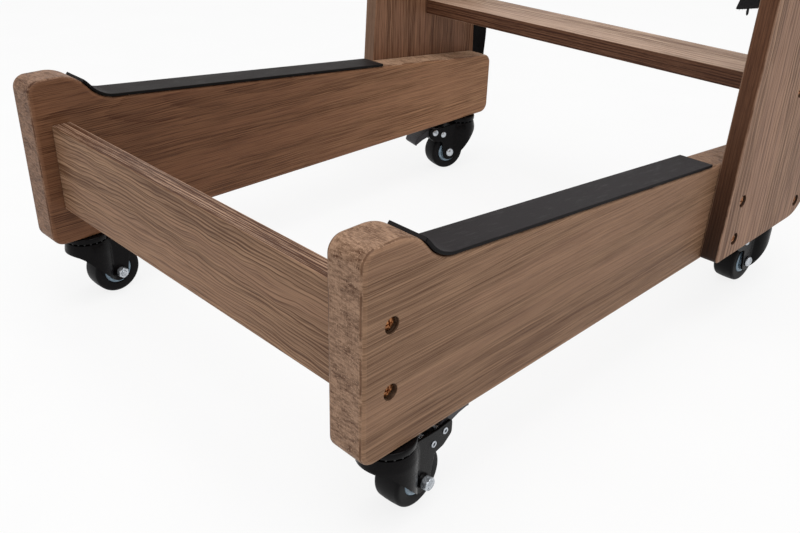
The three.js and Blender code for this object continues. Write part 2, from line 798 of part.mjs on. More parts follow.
// The hub has a centre boss and a raised ring on each face.
function hub() {
  const bossFace = wheelWidth / 2 + hubBossProud;
  const bore = axleRadius + axleRunningGap;
  const face = (side) => [
    [bore, side * bossFace], [hubBossRadius, side * bossFace], [hubBossRadius, side * hubFace],
    [hubRingInner, side * hubFace], [hubRingOuter, side * (hubFace + hubRingProud)],
    [hubRadius, side * hubFace],
  ];
  return aboutAxle(turnedRing([...face(-1), ...face(1).reverse()], 14));
}

function hexPrism(height) {
  const radius = nutAcrossFlats / Math.sqrt(3);
  return new THREE.CylinderGeometry(radius, radius, height, 6).rotateX(Math.PI / 2);
}

const forkSeat = forkOuter + seatGap;

// The axle bolt's hexagon head, shank, washer and nut, tightened as one.
function axleBolt() {
  const nutSeat = forkSeat + washerThickness;
  const end = nutSeat + nutHeight + 1.5;
  const headHeight = nutHeight - 1;
  const shank = turned([
    [0, -forkSeat - 1], [axleRadius, -forkSeat - 1], [axleRadius, forkSeat],
    [washerRadius, forkSeat], [washerRadius, nutSeat], [axleRadius, nutSeat],
    [axleRadius, end], [0, end],
  ], 12);
  const head = hexPrism(headHeight).translate(0, 0, -forkSeat - headHeight / 2);
  const nut = hexPrism(nutHeight).translate(0, 0, nutSeat + nutHeight / 2 - 0.1);
  return aboutAxle(join(shank, head, nut));
}

// A pin right across the fork with a low domed head at each end; `seat` is a head's underside.
function crossPin(place, seat) {
  const end = seat + rivetHeadHeight;
  const dome = rivetHeadRadius * 0.6;
  return turned([
    [0, -end], [dome, -end], [rivetHeadRadius, -seat], [rivetRadius, -seat],
    [rivetRadius, seat], [rivetHeadRadius, seat], [dome, end], [0, end],
  ], 8).rotateY(Math.PI / 2).translate(0, place.y, place.z);
}

const leverInner = forkOuter + seatGap;
const leverOuter = leverInner + leverSheet;

// Lever: two cheeks outside the fork, a pedal across them and a tongue that meets the tyre.
// Outlines are drawn from the pivot.
function leverPiece(halfWidth, from, corners) {
  const moved = corners.map(([y, z, radius]) => [leverPivot.y + y, leverPivot.z + z, radius]);
  return sideways(slab(roundedShape(moved), halfWidth - from, 0, 2), from);
}

function brakeLever() {
  const cheek = [
    [-6, 1, 2], [-5, -8.5, 3], [3, -7, 3], [12, 3.5, 4], [21, 7.6, 0], [21, 10.4, 0], [2, 8.6, 3],
  ];
  const pedal = [
    [4, 8.8, 0], [17, 10.6, 0], [32, 10.6, 5], [40.5, 6, 4], [42, -2.4, 0], [40.2, -2.8, 0],
    [38.6, 4.4, 4], [31.5, 8.6, 5], [17.2, 8.6, 0], [4.4, 6.8, 0],
  ];
  const end = fromAxle(wheelRadius + brakeGap, brakeAngle);
  const tip = { y: end.y - leverPivot.y, z: end.z - leverPivot.z };
  const tongue = [
    [4, 7.6, 0], [1.5, -5, 0], [tip.y, tip.z, 0], [tip.y + 1.8, tip.z - 0.6, 0],
    [6, -5, 0], [8.5, 7.6, 0],
  ];
  const tongueHalf = wheelWidth / 2 - 2.5;
  const pivotHole = crossBar(
    -forkSpan / 2, forkSpan / 2, leverPivot.y, leverPivot.z, rivetRadius + seatGap, 10,
  );
  return cut(join(
    leverPiece(leverOuter, leverInner, cheek),
    leverPiece(-leverInner, -leverOuter, cheek),
    leverPiece(leverOuter, -leverOuter, pedal),
    leverPiece(tongueHalf, -tongueHalf, tongue),
  ), pivotHole);
}

// ---------------------------------------------------------------- assembly
const stand = new THREE.Group();
stand.position.set(0, -overallDepth / 2, casterHeight);

const sides = [{ word: 'left', side: -1 }, { word: 'right', side: 1 }];
for (const { word, side } of sides) {
  addMesh(stand, `rail_${word}`, rail(side), finishes.stainedWood());
  addMesh(stand, `tread_${word}`, tread(side), finishes.rubber());
  addMesh(stand, `upright_${word}`, upright(side), finishes.stainedWood());
  addScrews(stand, word, side);
}
addMesh(stand, 'front_board', frontBoard(), finishes.stainedWood());
addMesh(stand, 'lower_cross_rail', crossRail(lowerCrossRail), finishes.stainedWood());
addMesh(stand, 'upper_cross_rail', crossRail(upperCrossRail), finishes.stainedWood());
addMesh(stand, 'strap_left', leftStrap(), finishes.webbing());
addMesh(stand, 'strap_right', rightStrap(), finishes.webbing());
addMesh(stand, 'strap_screw_left', strapScrew(-1), finishes.blackSteel());
addMesh(stand, 'strap_screw_right', strapScrew(1), finishes.blackSteel());

for (const caster of casters) {
  const group = new THREE.Group();
  const { x, y } = casterPlace(caster);
  group.position.set(x, y, 0);
  group.rotation.z = THREE.MathUtils.degToRad(caster.heading);
  stand.add(group);
  addMesh(group, `caster_stem_${caster.name}`, casterStem(), finishes.blackSteel());
  addMesh(group, `fork_${caster.name}`, fork(), finishes.blackSteel());
  addMesh(group, `tyre_${caster.name}`, tyre(), finishes.tyre());
  addMesh(group, `hub_${caster.name}`, hub(), finishes.greyNylon());
  addMesh(group, `axle_bolt_${caster.name}`, axleBolt(), finishes.zincSteel());
  addMesh(group, `brake_lever_${caster.name}`, brakeLever(), finishes.blackSteel());
}

export default stand;
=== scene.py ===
import json
import math

import bmesh
import bpy
import numpy as np
from mathutils.geometry import delaunay_2d_cdt
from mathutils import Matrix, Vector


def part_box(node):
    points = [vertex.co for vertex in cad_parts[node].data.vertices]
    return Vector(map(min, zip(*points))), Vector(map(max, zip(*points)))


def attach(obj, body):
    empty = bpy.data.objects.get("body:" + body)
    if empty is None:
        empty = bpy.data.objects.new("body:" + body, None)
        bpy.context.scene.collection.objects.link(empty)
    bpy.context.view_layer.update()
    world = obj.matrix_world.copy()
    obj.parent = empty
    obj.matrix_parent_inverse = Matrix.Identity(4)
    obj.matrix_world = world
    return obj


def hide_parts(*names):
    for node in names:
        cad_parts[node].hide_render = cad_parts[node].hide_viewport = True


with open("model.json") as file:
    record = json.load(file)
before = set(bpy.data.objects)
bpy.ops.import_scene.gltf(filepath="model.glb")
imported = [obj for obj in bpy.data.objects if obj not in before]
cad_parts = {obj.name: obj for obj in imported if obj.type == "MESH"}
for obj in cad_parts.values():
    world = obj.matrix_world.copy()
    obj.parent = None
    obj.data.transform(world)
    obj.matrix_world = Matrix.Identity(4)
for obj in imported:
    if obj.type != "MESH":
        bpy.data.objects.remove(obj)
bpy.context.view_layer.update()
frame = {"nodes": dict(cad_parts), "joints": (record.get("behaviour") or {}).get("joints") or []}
scene = bpy.context.scene
joints = {joint["name"]: joint for joint in frame["joints"]}

# ------------------------------------------------------------------ the bench
# The stand is laid out in millimetres: x across from the middle, y back from the rails' front
# ends, z up from the rails' undersides.
MM = 0.001
RIGHT = math.pi / 2  # a right angle
SIDES = ((-1, "left"), (1, "right"))
rail_low, rail_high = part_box("rail_right")
ORIGIN = np.array([0.0, rail_low.y, rail_low.z])


def bench(points):
    """Bench millimetres to metres in the frame: p / 1000 + the bench's origin."""
    return np.asarray(points, float) * MM + ORIGIN


def bench_box(node):
    """The two corners of a CAD node's box on the bench: (p - origin) * 1000."""
    return [(np.array(corner, float) - ORIGIN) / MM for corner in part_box(node)]


def span(side, inner, outer):
    """The low and high x of a piece on one side that lies from inner to outer off the middle."""
    return sorted((side * inner, side * outer))


def put(name, data):
    """A new object in the scene with this mesh, lamp or camera."""
    made = bpy.data.objects.new(name, data)
    scene.collection.objects.link(made)
    return made


# ------------------------------------------------------------------ sizes
rail_length = (rail_high.y - rail_low.y) / MM
rail_inner, rail_outer = 200.0, 234.0  # off the middle
rail_ease, board_ease, cross_ease = 3.5, 1.2, 0.8  # how far each arris is rounded
slope = math.radians(5.5)
rear_height, corner_round = 80.0, 12.0
lip_flat, lip_rise, lip_radius = 28.0, 28.3, 36.0

strip_start, strip_to_upright = 51.5, 16.0
strip_under, strip_top = 0.3, 3.0  # off the rail's top

upright_inner, upright_outer = 234.3, 252.0
upright_foot, upright_top = 2.5, 822.5
upright_front, upright_rear = 445.0, 645.0  # its edges where they meet the rails' undersides
front_lean, rear_lean = math.radians(3.15), math.radians(2.4)
toe_round, heel_round, top_round = 5, 38, 30

bore_radius, rail_bore_depth, upright_bore_depth, pilot_radius = 6.2, 7.0, 5.6, 3.2
head_radius, head_height, head_lift, shank_radius = 5.5, 3.0, 1.2, 2.8

strap_width, strap_thick = 25.0, 1.5
left_screw_x, left_screw_z = -241.0, 300.0
right_screw_x, right_screw_y, right_screw_z = 231.8, 522.09, 365.0

# ------------------------------------------------------------------ camera
camera_data = bpy.data.cameras.new("camera")
camera_data.sensor_fit = "HORIZONTAL"
camera_data.sensor_width = 36.0
camera_data.lens = 39.713
camera_data.clip_start = 0.02
camera_data.clip_end = 60.0
camera = put("camera", camera_data)
camera.location = (0.561207, -0.625870, 0.469060)
camera.rotation_euler = [math.radians(a) for a in (61.6475, -1.4956, 45.1826)]
scene.camera = camera


# ------------------------------------------------------------------ finishes
def paint(red, green, blue):
    """A colour given as screen values 0 to 255, turned to the linear ones a shader works in."""
    values = np.array([red, green, blue], float) / 255
    linear = np.where(values <= 0.04045, values / 12.92, ((values + 0.055) / 1.055) ** 2.4)
    return (*linear.tolist(), 1.0)


def shade(colour, *factors):
    """A colour made lighter or darker: its channels times one factor, or each times its own."""
    return (*(np.array(colour[:3]) * factors).tolist(), 1.0)


def maths(operation, swapped=False):
    """A method that adds one Math node, with its values in order or swapped."""
    def method(self, *others):
        values = (*others, self) if swapped else (self, *others)
        return self.finish.node("Math", {"operation": operation}, dict(enumerate(values)))
    return method


class Wire:
    """One value in a finish. Arithmetic between values adds the Math nodes that do it."""

    def __init__(self, finish, socket):
        self.finish = finish
        self.socket = socket

    __add__ = __radd__ = maths("ADD")
    __sub__ = maths("SUBTRACT")
    __rsub__ = maths("SUBTRACT", swapped=True)
    __mul__ = __rmul__ = maths("MULTIPLY")
    __pow__ = maths("POWER")
    __abs__ = maths("ABSOLUTE")
    root = maths("SQRT")
    sine = maths("SINE")
    saw = maths("FRACT")
    most = maths("MAXIMUM")

    def rise(self, low, high):
        """Smooth step: 0 below low, 1 above high."""
        return self.finish.node("MapRange", {"interpolation_type": "SMOOTHSTEP"},
                                {"Value": self, "From Min": low, "From Max": high})


class Finish:
    """A procedural material, built node by node up to its Principled shader."""

    def __init__(self, name, holder=None):
        self.material = holder or bpy.data.materials.new(name)
        self.material.use_nodes = True
        self.tree = self.material.node_tree
        self.tree.nodes.clear()

    def node(self, kind, settings=None, sockets=None, out=0):
        """Adds one shader node: its settings, then the values or links of its sockets."""
        made = self.tree.nodes.new(f"ShaderNode{kind}")
        for name, value in (settings or {}).items():
            if name == "stops":
                ramp = made.color_ramp
                ramp.elements.remove(ramp.elements[-1])
                ramp.elements[0].position, ramp.elements[0].color = value[0]
                for position, colour in value[1:]:
                    ramp.elements.new(position).color = colour
            else:
                setattr(made, name, value)
        for key, value in (sockets or {}).items():
            if isinstance(value, Wire):
                self.tree.links.new(value.socket, made.inputs[key])
            else:
                made.inputs[key].default_value = value
        if isinstance(out, tuple):
            return [Wire(self, made.outputs[key]) for key in out]
        return Wire(self, made.outputs[out])

    def place(self):
        """Where a point is on its piece, as x, y and z in millimetres."""
        where = self.node("TexCoord", out="Object")
        parts = self.node("SeparateXYZ", sockets={0: where}, out=(0, 1, 2))
        return [part * 1000.0 for part in parts]

    def facing(self):
        """The surface's direction on its piece, as x, y and z."""
        way = self.node("TexCoord", out="Normal")
        return self.node("SeparateXYZ", sockets={0: way}, out=(0, 1, 2))

    def noise(self, x, y, z, detail=2.0, rough=0.5):
        """Soft noise from 0 to 1 over the three values, one cell to each whole number."""
        spot = self.node("CombineXYZ", sockets={0: x, 1: y, 2: z})
        return self.node("TexNoise", {"noise_dimensions": "3D"},
                         {"Vector": spot, "Scale": 1.0, "Detail": detail, "Roughness": rough})

    def blend(self, share, first, second, how="MIX"):
        return self.node("Mix", {"data_type": "RGBA", "blend_type": how},
                         {0: share, 6: first, 7: second}, out=2)

    def ramp(self, value, stops):
        return self.node("ValToRGB", {"stops": stops}, {0: value})

    def bump(self, height, strength, distance):
        return self.node("Bump", None, {"Height": height, "Strength": strength,
                                        "Distance": distance})

    def close(self, sockets):
        """The Principled shader with these sockets, joined to the output."""
        return self.end(self.node("BsdfPrincipled", None, sockets))

    def end(self, shader, kind="Material"):
        """Joins a shader to the output of the material or world."""
        self.node(f"Output{kind}", None, {"Surface": shader}, out=())
        return self.material


# ------------------------------------------------------------------ shapes
def grid_faces(rows, columns, wrap=True):
    """Quads between neighbouring rows of points; the columns wrap round or stay open."""
    first = np.arange(columns if wrap else columns - 1)
    after = (first + 1) % columns
    start = (np.arange(rows - 1) * columns)[:, None]
    return np.stack([start + first, start + after, start + after + columns,
                     start + first + columns], -1).reshape(-1, 4)


class Shell:
    """Gathers the arrays of one piece: points in millimetres, faces, and a wear-and-shade mark
    a point.
    """

    def __init__(self):
        self.points, self.faces, self.marks, self.count = [], [], [], 0

    def add(self, points, faces, mark=0.0):
        points = np.asarray(points, float).reshape(-1, 3)
        self.points.append(points)
        self.marks.append(np.broadcast_to(np.asarray(mark, float), len(points)))
        self.faces += (np.asarray(faces) + self.count).tolist()
        self.count += len(points)
        return self

    def join(self, other, change=None):
        """Adds another shell's points and faces, its points passed through a function if given."""
        points = np.concatenate(other.points)
        self.faces += [[k + self.count for k in face] for face in other.faces]
        return self.add(change(points) if change else points, [], np.concatenate(other.marks))


def piece(name, shell, body, slot, finish, node=None, place=bench, crease=38.0, merge=True):
    """A shell made an object in the frame, in place of a CAD node if one is named: doubles
    merged, faces turned out, smooth up to creases."""
    mesh = bpy.data.meshes.new(name)
    mesh.from_pydata(place(np.concatenate(shell.points)), [], shell.faces)
    wear = mesh.attributes.new("wear", "FLOAT", "POINT")
    wear.data.foreach_set("value", np.concatenate(shell.marks).astype(np.float32))
    work = bmesh.new()
    work.from_mesh(mesh)
    if merge:
        bmesh.ops.remove_doubles(work, verts=work.verts, dist=1e-6)
    bmesh.ops.recalc_face_normals(work, faces=work.faces)
    work.to_mesh(mesh)
    work.free()
    mesh.polygons.foreach_set("use_smooth", np.ones(len(mesh.polygons), bool))
    mesh.set_sharp_from_angle(angle=math.radians(crease))
    mesh.materials.append(finish)
    made = put(name, mesh)
    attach(made, body)
    if node:
        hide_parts(node)
    return made


def arc(y, z, radius, start, stop, steps):
    """Points on a circle: centre + radius * (cos a, sin a), a from start to stop in radians."""
    turn = np.linspace(start, stop, steps + 1)
    return np.stack([y + radius * np.cos(turn), z + radius * np.sin(turn)], -1)


def rounded(corners, steps=6):
    """A closed outline whose corners (y, z, radius) are each swept by an arc of that radius."""
    spots = np.array([corner[:2] for corner in corners], float)
    made = []
    for k, (y, z, radius) in enumerate(corners):
        if radius == 0:
            made.append(np.array([[y, z]]))
            continue
        back = spots[k - 1] - spots[k]
        ahead = spots[(k + 1) % len(spots)] - spots[k]
        back, ahead = back / np.linalg.norm(back), ahead / np.linalg.norm(ahead)
        half = math.acos(np.clip(back @ ahead, -1, 1)) / 2
        middle = spots[k] + (back + ahead) / np.linalg.norm(back + ahead) * radius / math.sin(half)
        start = spots[k] + back * radius / math.tan(half) - middle
        stop = spots[k] + ahead * radius / math.tan(half) - middle
        turn = math.atan2(start[1], start[0])
        sweep = math.atan2(start[0] * stop[1] - start[1] * stop[0], start @ stop)
        made.append(arc(*middle, radius, turn, turn + sweep, steps))
    return np.concatenate(made)


def even_outline(points, shoulder):
    """Drops doubled points, runs counter-clockwise, and adds a point near each end of a long run."""
    points = points[np.linalg.norm(points - np.roll(points, 1, 0), axis=1) > 1e-4]
    after = np.roll(points, -1, 0)
    if np.sum(points[:, 0] * after[:, 1] - points[:, 1] * after[:, 0]) < 0:
        points = points[::-1]
        after = np.roll(points, -1, 0)
    step = after - points
    made = []
    for point, move, run in zip(points, step, np.linalg.norm(step, axis=1)):
        made.append(point)
        if run > 3 * shoulder:
            made += [point + move * shoulder / run, point + move * (1 - shoulder / run)]
    return np.array(made)


def inset(points, depth):
    """An outline moved inwards: each point goes along the mean of its two edge normals."""
    ahead = np.roll(points, -1, 0) - points
    ahead /= np.linalg.norm(ahead, axis=1)[:, None]
    normal = np.stack([-ahead[:, 1], ahead[:, 0]], -1)
    before = np.roll(normal, 1, 0)
    share = 1 + np.sum(normal * before, 1)
    return points + depth * (normal + before) / share[:, None]


def fill(rim, holes):
    """Triangles that fill a flat face between its rim and the rims of its bores."""
    spots = np.concatenate([rim, *holes])
    edges, start = [], 0
    for loop in [rim, *holes]:
        index = np.arange(len(loop))
        edges += (np.stack([index, np.roll(index, -1)], -1) + start).tolist()
        start += len(loop)
    points, _, faces, _, _, _ = delaunay_2d_cdt([tuple(p) for p in spots], edges, [], 1, 1e-5)
    points = np.array([tuple(p) for p in points])
    faces = np.array(faces)
    centre = points[faces].mean(1)
    keep = np.ones(len(faces), bool)
    for hole in holes:
        middle = hole.mean(0)
        keep &= np.linalg.norm(centre - middle, axis=1) > np.linalg.norm(hole[0] - middle)
    return points, faces[keep]


def bore(depth):
    """A stepped bore's profile of (radius, depth) rows: eased mouth, wall, floor, pilot hole."""
    radius, pilot, total = bore_radius, pilot_radius, depth + 4
    return [(radius + 0.7, 0), (radius + 0.3, 0), (radius + 0.08, 0.1), (radius, 0.4),
            (radius, 0.9), (radius, depth - 0.5), (radius - 0.1, depth - 0.1),
            (radius - 0.5, depth), (pilot + 0.3, depth), (pilot, depth + 0.3), (pilot, total),
            (0.01, total)]


def plate(outline, low, high, ease, bores=(), face=1, arris=4, spread=0.4):
    """A board. Its (y, z) outline is carried from x = low to x = high; along each arris the
    outline is inset by e(1 - cos a) at e(1 - sin a) from the face, a from 90 to 0 degrees.
    Bores are ((y, z), rows of (radius, depth)) and open on the face at high (1) or low (-1).
    The wear-and-shade mark is 1 on an arris, for wear, 0 on a flat, and -1 in a bore,
    for painted shade."""
    outline = even_outline(outline, spread)
    turn = np.linspace(RIGHT, 0, arris + 1)
    depth = np.concatenate([[ease + spread], ease * (1 - np.cos(turn)), [0.0]])
    along = np.concatenate([[0.0], ease * (1 - np.sin(turn)), [ease + spread]])
    wear_and_bore_shade = np.concatenate([[0.0], np.ones(arris + 1), [0.0]])
    depth, wear_and_bore_shade = np.append(depth, depth[::-1]), np.append(wear_and_bore_shade, wear_and_bore_shade[::-1])
    ahead = (np.roll(outline, -1, 0) - outline) @ [1, 1j]
    corner = np.abs(np.angle(ahead / np.roll(ahead, 1))) > math.radians(9)
    count = len(outline)
    rows = [np.column_stack([np.full(count, x), inset(outline, d)])
            for x, d in zip(np.append(low + along, (high - along)[::-1]), depth)]
    shell = Shell().add(np.concatenate(rows), grid_faces(len(rows), count),
                        np.maximum(np.repeat(wear_and_bore_shade, count), np.tile(corner, len(rows))))
    rim = inset(outline, ease + spread)
    around = 48
    angle = np.arange(around) * math.tau / around
    ring = np.stack([np.cos(angle), np.sin(angle)], -1)
    for x, side in ((low, -1), (high, 1)):
        holes = []
        for middle, profile in (bores if side == face else ()):
            radius, deep = np.array(profile).T
            wall = np.zeros((len(profile), around, 3))
            wall[:, :, 0] = (x - side * deep)[:, None]
            wall[:, :, 1:] = middle + radius[:, None, None] * ring
            # Bore walls are marked -1, which paints them dark as painted shade.
            edge = np.repeat(np.where(deep <= 0, 0.0, np.where(deep < 0.4, 0.3, -1.0)), around)
            shell.add(wall, grid_faces(len(profile), around), edge)
            holes.append(wall[0, :, 1:])
        points, faces = fill(rim, holes)
        shell.add(np.column_stack([np.full(len(points), x), points]), faces)
    return shell


def lathe(profile, steps, centre=(0.0, 0.0, 0.0), axis="z", wave=None):
    """A profile of (radius, height) rows turned about an axis: (r cos t, r sin t, h), where a
    wave function may change r and h as arrays of row and angle."""
    radius, height = np.array(profile, float).T
    turn = np.arange(steps) * math.tau / steps
    radius, height = np.repeat(radius[:, None], steps, 1), np.repeat(height[:, None], steps, 1)
    angle = np.repeat(turn[None, :], len(radius), 0)
    if wave:
        radius, height = wave(radius, height, angle)
    ring = [radius * np.cos(angle), radius * np.sin(angle), height]
    if axis == "x":
        ring = [ring[2], ring[0], ring[1]]
    return np.stack(ring, -1) + np.array(centre), grid_faces(len(radius), steps)


# ------------------------------------------------------------------ wood finish
def board_grain(finish, place, base, seed, heart, period, figure, contrast, fine=1.0,
                oval=0.075):
    """A board's face: growth rings about a heart line at (along, across), each darker by its
    share to the fourth and then pale at once, with fine streaks, slow bands and pores."""
    u, v, w = place
    wander = finish.noise(u * 0.004, v * 0.018, w * 0.01 + seed, 2.0) - 0.5
    ripple = finish.noise(u * 0.026, v * 0.06, w * 0.02 + seed + 2, 1.0) - 0.5
    line = v + wander * (5.0 + 7.0 * figure) + ripple * (4.0 * figure)
    streak = finish.noise(u * 0.009, line * (0.5 * fine), w * 0.05 + seed, 4.0, 0.62) - 0.5
    hair = finish.noise(u * 0.014, line * fine, w * 0.05 + seed + 9, 2.0, 0.6) - 0.5
    band = finish.noise(u * 0.003, line * 0.045, w * 0.05 + seed + 7, 1.0) - 0.5
    cloud = finish.noise(u * 0.02, v * 0.06, w * 0.06 + seed + 3, 2.0) - 0.5
    off, far = line - heart[1], (u - heart[0]) * oval
    distance = (off * off + far * far + 9.0).root()
    ring = (distance * (1 / period) + streak * 0.45 + wander * 1.5).saw()
    late = ring ** 4.0 * (0.5 * figure)
    tint = (0.5 + (streak * 1.1 + hair * 1.35 + band * 0.5 + cloud * 0.2) * contrast
            + 0.10 * figure - late)
    board = finish.ramp(tint, [(0.14, shade(base, 0.44, 0.33, 0.25)), (0.5, base),
                               (0.92, shade(base, 1.50, 1.57, 1.62))])
    board = finish.blend(band.rise(-0.04, 0.10) * 0.3, board, shade(base, 1.06, 0.98, 1.04))
    pore = finish.noise(u * 0.035, line * (1.15 * fine), w * 0.4 + seed + 11, 1.0)
    pore = pore.rise(0.60, 0.69) * (0.35 + ring * 0.65) * (0.42 * contrast)
    board = finish.blend(pore, board, shade(base, 0.36, 0.26, 0.18))
    height = streak * 0.4 + hair * 0.5 - pore * 1.2 - late * 0.5
    return board, height, hair * 0.3 + streak * 0.2, wander, ripple


def ply_edge(finish, place, seed, plies, torn):
    """A board's edge: plies by the place through it, uneven in depth, with dark glue lines."""
    u, v, w = place
    ply = w * (1 / 2.9) + finish.noise(u * 0.01, v * 0.01, w * 0.2 + seed, 1.0) * 0.9
    uneven = finish.noise(u * 0.014, v * 0.014, w * 1.1 + seed + 4, 2.0, 0.6) - 0.5
    glue = 1.0 - abs(ply.saw() - 0.5).rise(0.05, 0.24)
    layers = (0.50 + (ply * math.pi).sine() * (0.15 * plies) + uneven * (2.3 * plies)
              - glue * (0.50 * plies) + torn * (0.5 + 0.6 * plies))
    return layers, torn * 0.8 - glue * plies


def end_grain(finish, place, seed, wander, ripple, torn):
    """A rail's end: fibres torn like bark, soft blotches, pale flecks, and beside each face a
    dark seam that comes and goes."""
    u, v, w = place
    bark = finish.noise(u * 0.7 + ripple * 3.0, v * 0.55 + wander * 6.0, w * 0.17 + seed,
                        4.0, 0.72) - 0.5
    blotch = finish.noise(u * 0.09, v * 0.09, w * 0.07 + seed + 6, 2.0) - 0.5
    fleck = finish.noise(u * 0.8, v * 0.6, w * 0.9 + seed, 2.0).rise(0.60, 0.68)
    off_middle = abs(abs(w) - (rail_inner + rail_outer) / 2)
    seam = 1.0 - abs(off_middle - 14.9 + ripple * 1.2).rise(0.2, 0.9)
    seam = seam * finish.noise(u * 0.04, v * 0.04, seed, 3.0).rise(0.42, 0.55)
    layers = 0.52 + bark * 2.5 + blotch * 1.1 + fleck * 0.7 - seam * 1.2 + torn * 0.8
    return layers, bark * 1.2 - seam * 0.5


def wear_and_bore_shade(finish, colour, base, where, seed, rubbed):
    """What the wear-and-shade mark shows: arrises rubbed pale with a few dark dashes, and
    bores painted dark as painted shade.
    """
    x, y, z = where
    wear = finish.node("Attribute", {"attribute_name": "wear"}, out="Fac")
    rub = finish.noise(x * 0.05, y * 0.05, z * 0.05 + seed, 3.0, 0.6).rise(0.30, 0.60)
    colour = finish.blend(wear.rise(0.3, 1.0) * rub * rubbed, colour,
                          shade(base, 1.55, 1.62, 1.70))
    dash = finish.noise(x * 0.3, y * 0.55, z * 0.55 + seed + 5, 1.0).rise(0.60, 0.70)
    colour = finish.blend(wear.rise(0.6, 1.0) * dash * 0.25, colour, shade(base, 0.42))
    # Painted shade: the bores are darkened to 16% of the wood colour.
    return finish.blend((0.0 - wear).rise(0.05, 0.6) * 0.72, colour, shade(base, 0.16))


def plywood(name, axes, tone, edge, seed, plies=0.0, rubbed=0.4, low_front_stain_and_shade=None, fade=None,
            **grain):
    """Stained ply along, across and through the axes given. A face shows its grain, an edge its
    plies, or end grain where plies is 0. A front edge can darken below a height, partly stain and
    partly painted shade; an inner face can grow paler towards the rear as painted light."""
    finish = Finish(name)
    where, way = finish.place(), finish.facing()
    u, v, w = place = [where[axis] for axis in axes]
    facing = way[axes[2]]
    base, side = paint(*tone), paint(*edge)
    board, height, sheen, wander, ripple = board_grain(finish, place, base, seed, **grain)
    torn = finish.noise(u * 0.10, v * 0.10, w * 1.7 + seed, 3.0, 0.65) - 0.5
    if plies:
        layers, rough = ply_edge(finish, place, seed, plies, torn)
    else:
        layers, rough = end_grain(finish, place, seed, wander, ripple, torn)
    layers = finish.ramp(layers, [(0.05, shade(side, 0.34, 0.22, 0.14)),
                                  (0.45, shade(side, 0.94)), (0.95, shade(side, 1.62, 1.72, 1.82))])
    # Stain and painted shade: a front edge darkens towards the bottom, where it meets the rail.
    if low_front_stain_and_shade:
        front = (0.0 - way[1]).rise(0.4, 0.8)
        layers = finish.blend(front * (1.0 - where[2].rise(*low_front_stain_and_shade)), layers,
                              shade(side, 0.08))
    face = abs(facing).rise(0.5, 0.8)
    colour = finish.blend(face, layers, board)
    # Painted light: the inner face and edges grow paler towards the rear, lifting the shade the upright
    # casts there.
    if fade:
        inner = 1.0 - (0.0 - facing).rise(0.3, 0.8)
        colour = finish.blend(u.rise(*fade) ** 2.0 * inner, colour, (2.25, 2.65, 2.85, 1.0),
                              "MULTIPLY")
    return finish.close({
        "Base Color": wear_and_bore_shade(finish, colour, base, where, seed, rubbed), "Roughness": 0.56 + sheen,
        "Specular IOR Level": 0.2,
        "Normal": finish.bump(height * face + (1.0 - face) * rough, 0.45, 0.0006)})


# ------------------------------------------------------------------ rubber, metal and webbing
def rubber(name, tone, grit, sheen, side_dark_share=0.0):
    """Matte black rubber: a slow cloud of dust, fine grit, scuffs that run across it, and
    sides darker than its top by a share."""
    finish = Finish(name)
    x, y, z = finish.place()
    cloud = finish.noise(x * 0.05, y * 0.03, z * 0.05, 3.0)
    fine = finish.noise(x * grit, y * grit, z * grit, 2.0)
    scuff = finish.noise(x * 0.3, y * 0.04, z * 0.3, 3.0, 0.7).rise(0.52, 0.75)
    base = paint(*tone)
    colour = finish.ramp(cloud * 0.6 + fine * 0.4, [(0.25, shade(base, 0.7)), (0.5, base),
                                                    (0.75, shade(base, 1.45))])
    colour = finish.blend(scuff * 0.3, colour, shade(base, 2.0))
    # The sides, by their facing, are darkened by a share.
    cut = 1.0 - abs(finish.facing()[2]).rise(0.3, 0.9)
    colour = finish.blend(cut * side_dark_share, colour, shade(base, 0.25))
    return finish.close({
        "Base Color": colour, "Roughness": sheen + cloud * 0.2 - scuff * 0.08,
        "Specular IOR Level": 0.09, "Normal": finish.bump(fine + cloud * 0.5, 0.25, 0.0003)})


def metal(name, tone, dark, rough, metallic, speck=0.5, gloss=0.5):
    """Plated or painted steel: mottled colour, grime in soft patches and hair scratches."""
    finish = Finish(name)
    x, y, z = finish.place()
    cloud = finish.noise(x * 0.18, y * 0.18, z * 0.18, 3.0, 0.6)
    fine = finish.noise(x * 1.6, y * 1.6, z * 1.6, 2.0, 0.6)
    hair = finish.noise(x * 0.25 + y * 0.2, y * 3.0 - x * 2.0, z * 3.5, 2.0).rise(0.60, 0.66)
    base = paint(*tone)
    colour = finish.ramp(cloud * 0.65 + fine * 0.35, [(0.3, paint(*dark)), (0.52, base),
                                                      (0.75, shade(base, 1.3))])
    return finish.close({
        "Base Color": colour, "Metallic": metallic, "Specular IOR Level": gloss,
        "Roughness": rough + (cloud - 0.5) * 0.3 + (fine - 0.5) * 0.2 + hair * 0.1,
        "Normal": finish.bump(fine * speck + cloud * 0.5 - hair * 0.3, 0.18, 0.0002)})


def webbing_cloth():
    """Black narrow-woven webbing: cross ribs in chevrons by the strap's own length and width."""
    finish = Finish("black webbing")
    lay = finish.node("UVMap", {"uv_map": "lay"})
    along, across, _ = finish.node("SeparateXYZ", sockets={0: lay}, out=(0, 1, 2))
    tooth = abs((across * (1 / 5.2)).saw() - 0.5)
    rib = ((along * (1 / 1.5) + tooth * 2.2) * math.tau).sine()
    thread = (across * (math.tau / 0.62)).sine()
    fuzz = finish.noise(along * 1.1, across * 1.1, 0.0, 3.0, 0.7)
    fade = finish.noise(along * 0.05, across * 0.1, 3.0, 2.0)
    weave = rib * 0.5 + thread * 0.25 + fuzz
    colour = finish.ramp(weave * 0.35 + fade * 0.4, [
        (0.1, paint(4, 4, 5)), (0.5, paint(14, 13, 15)), (0.9, paint(34, 33, 36))])
    return finish.close({
        "Base Color": colour, "Roughness": 0.72 + fuzz * 0.2, "Sheen Weight": 0.06,
        "Sheen Roughness": 0.5, "Specular IOR Level": 0.12,
        "Normal": finish.bump(weave, 0.6, 0.0003)})


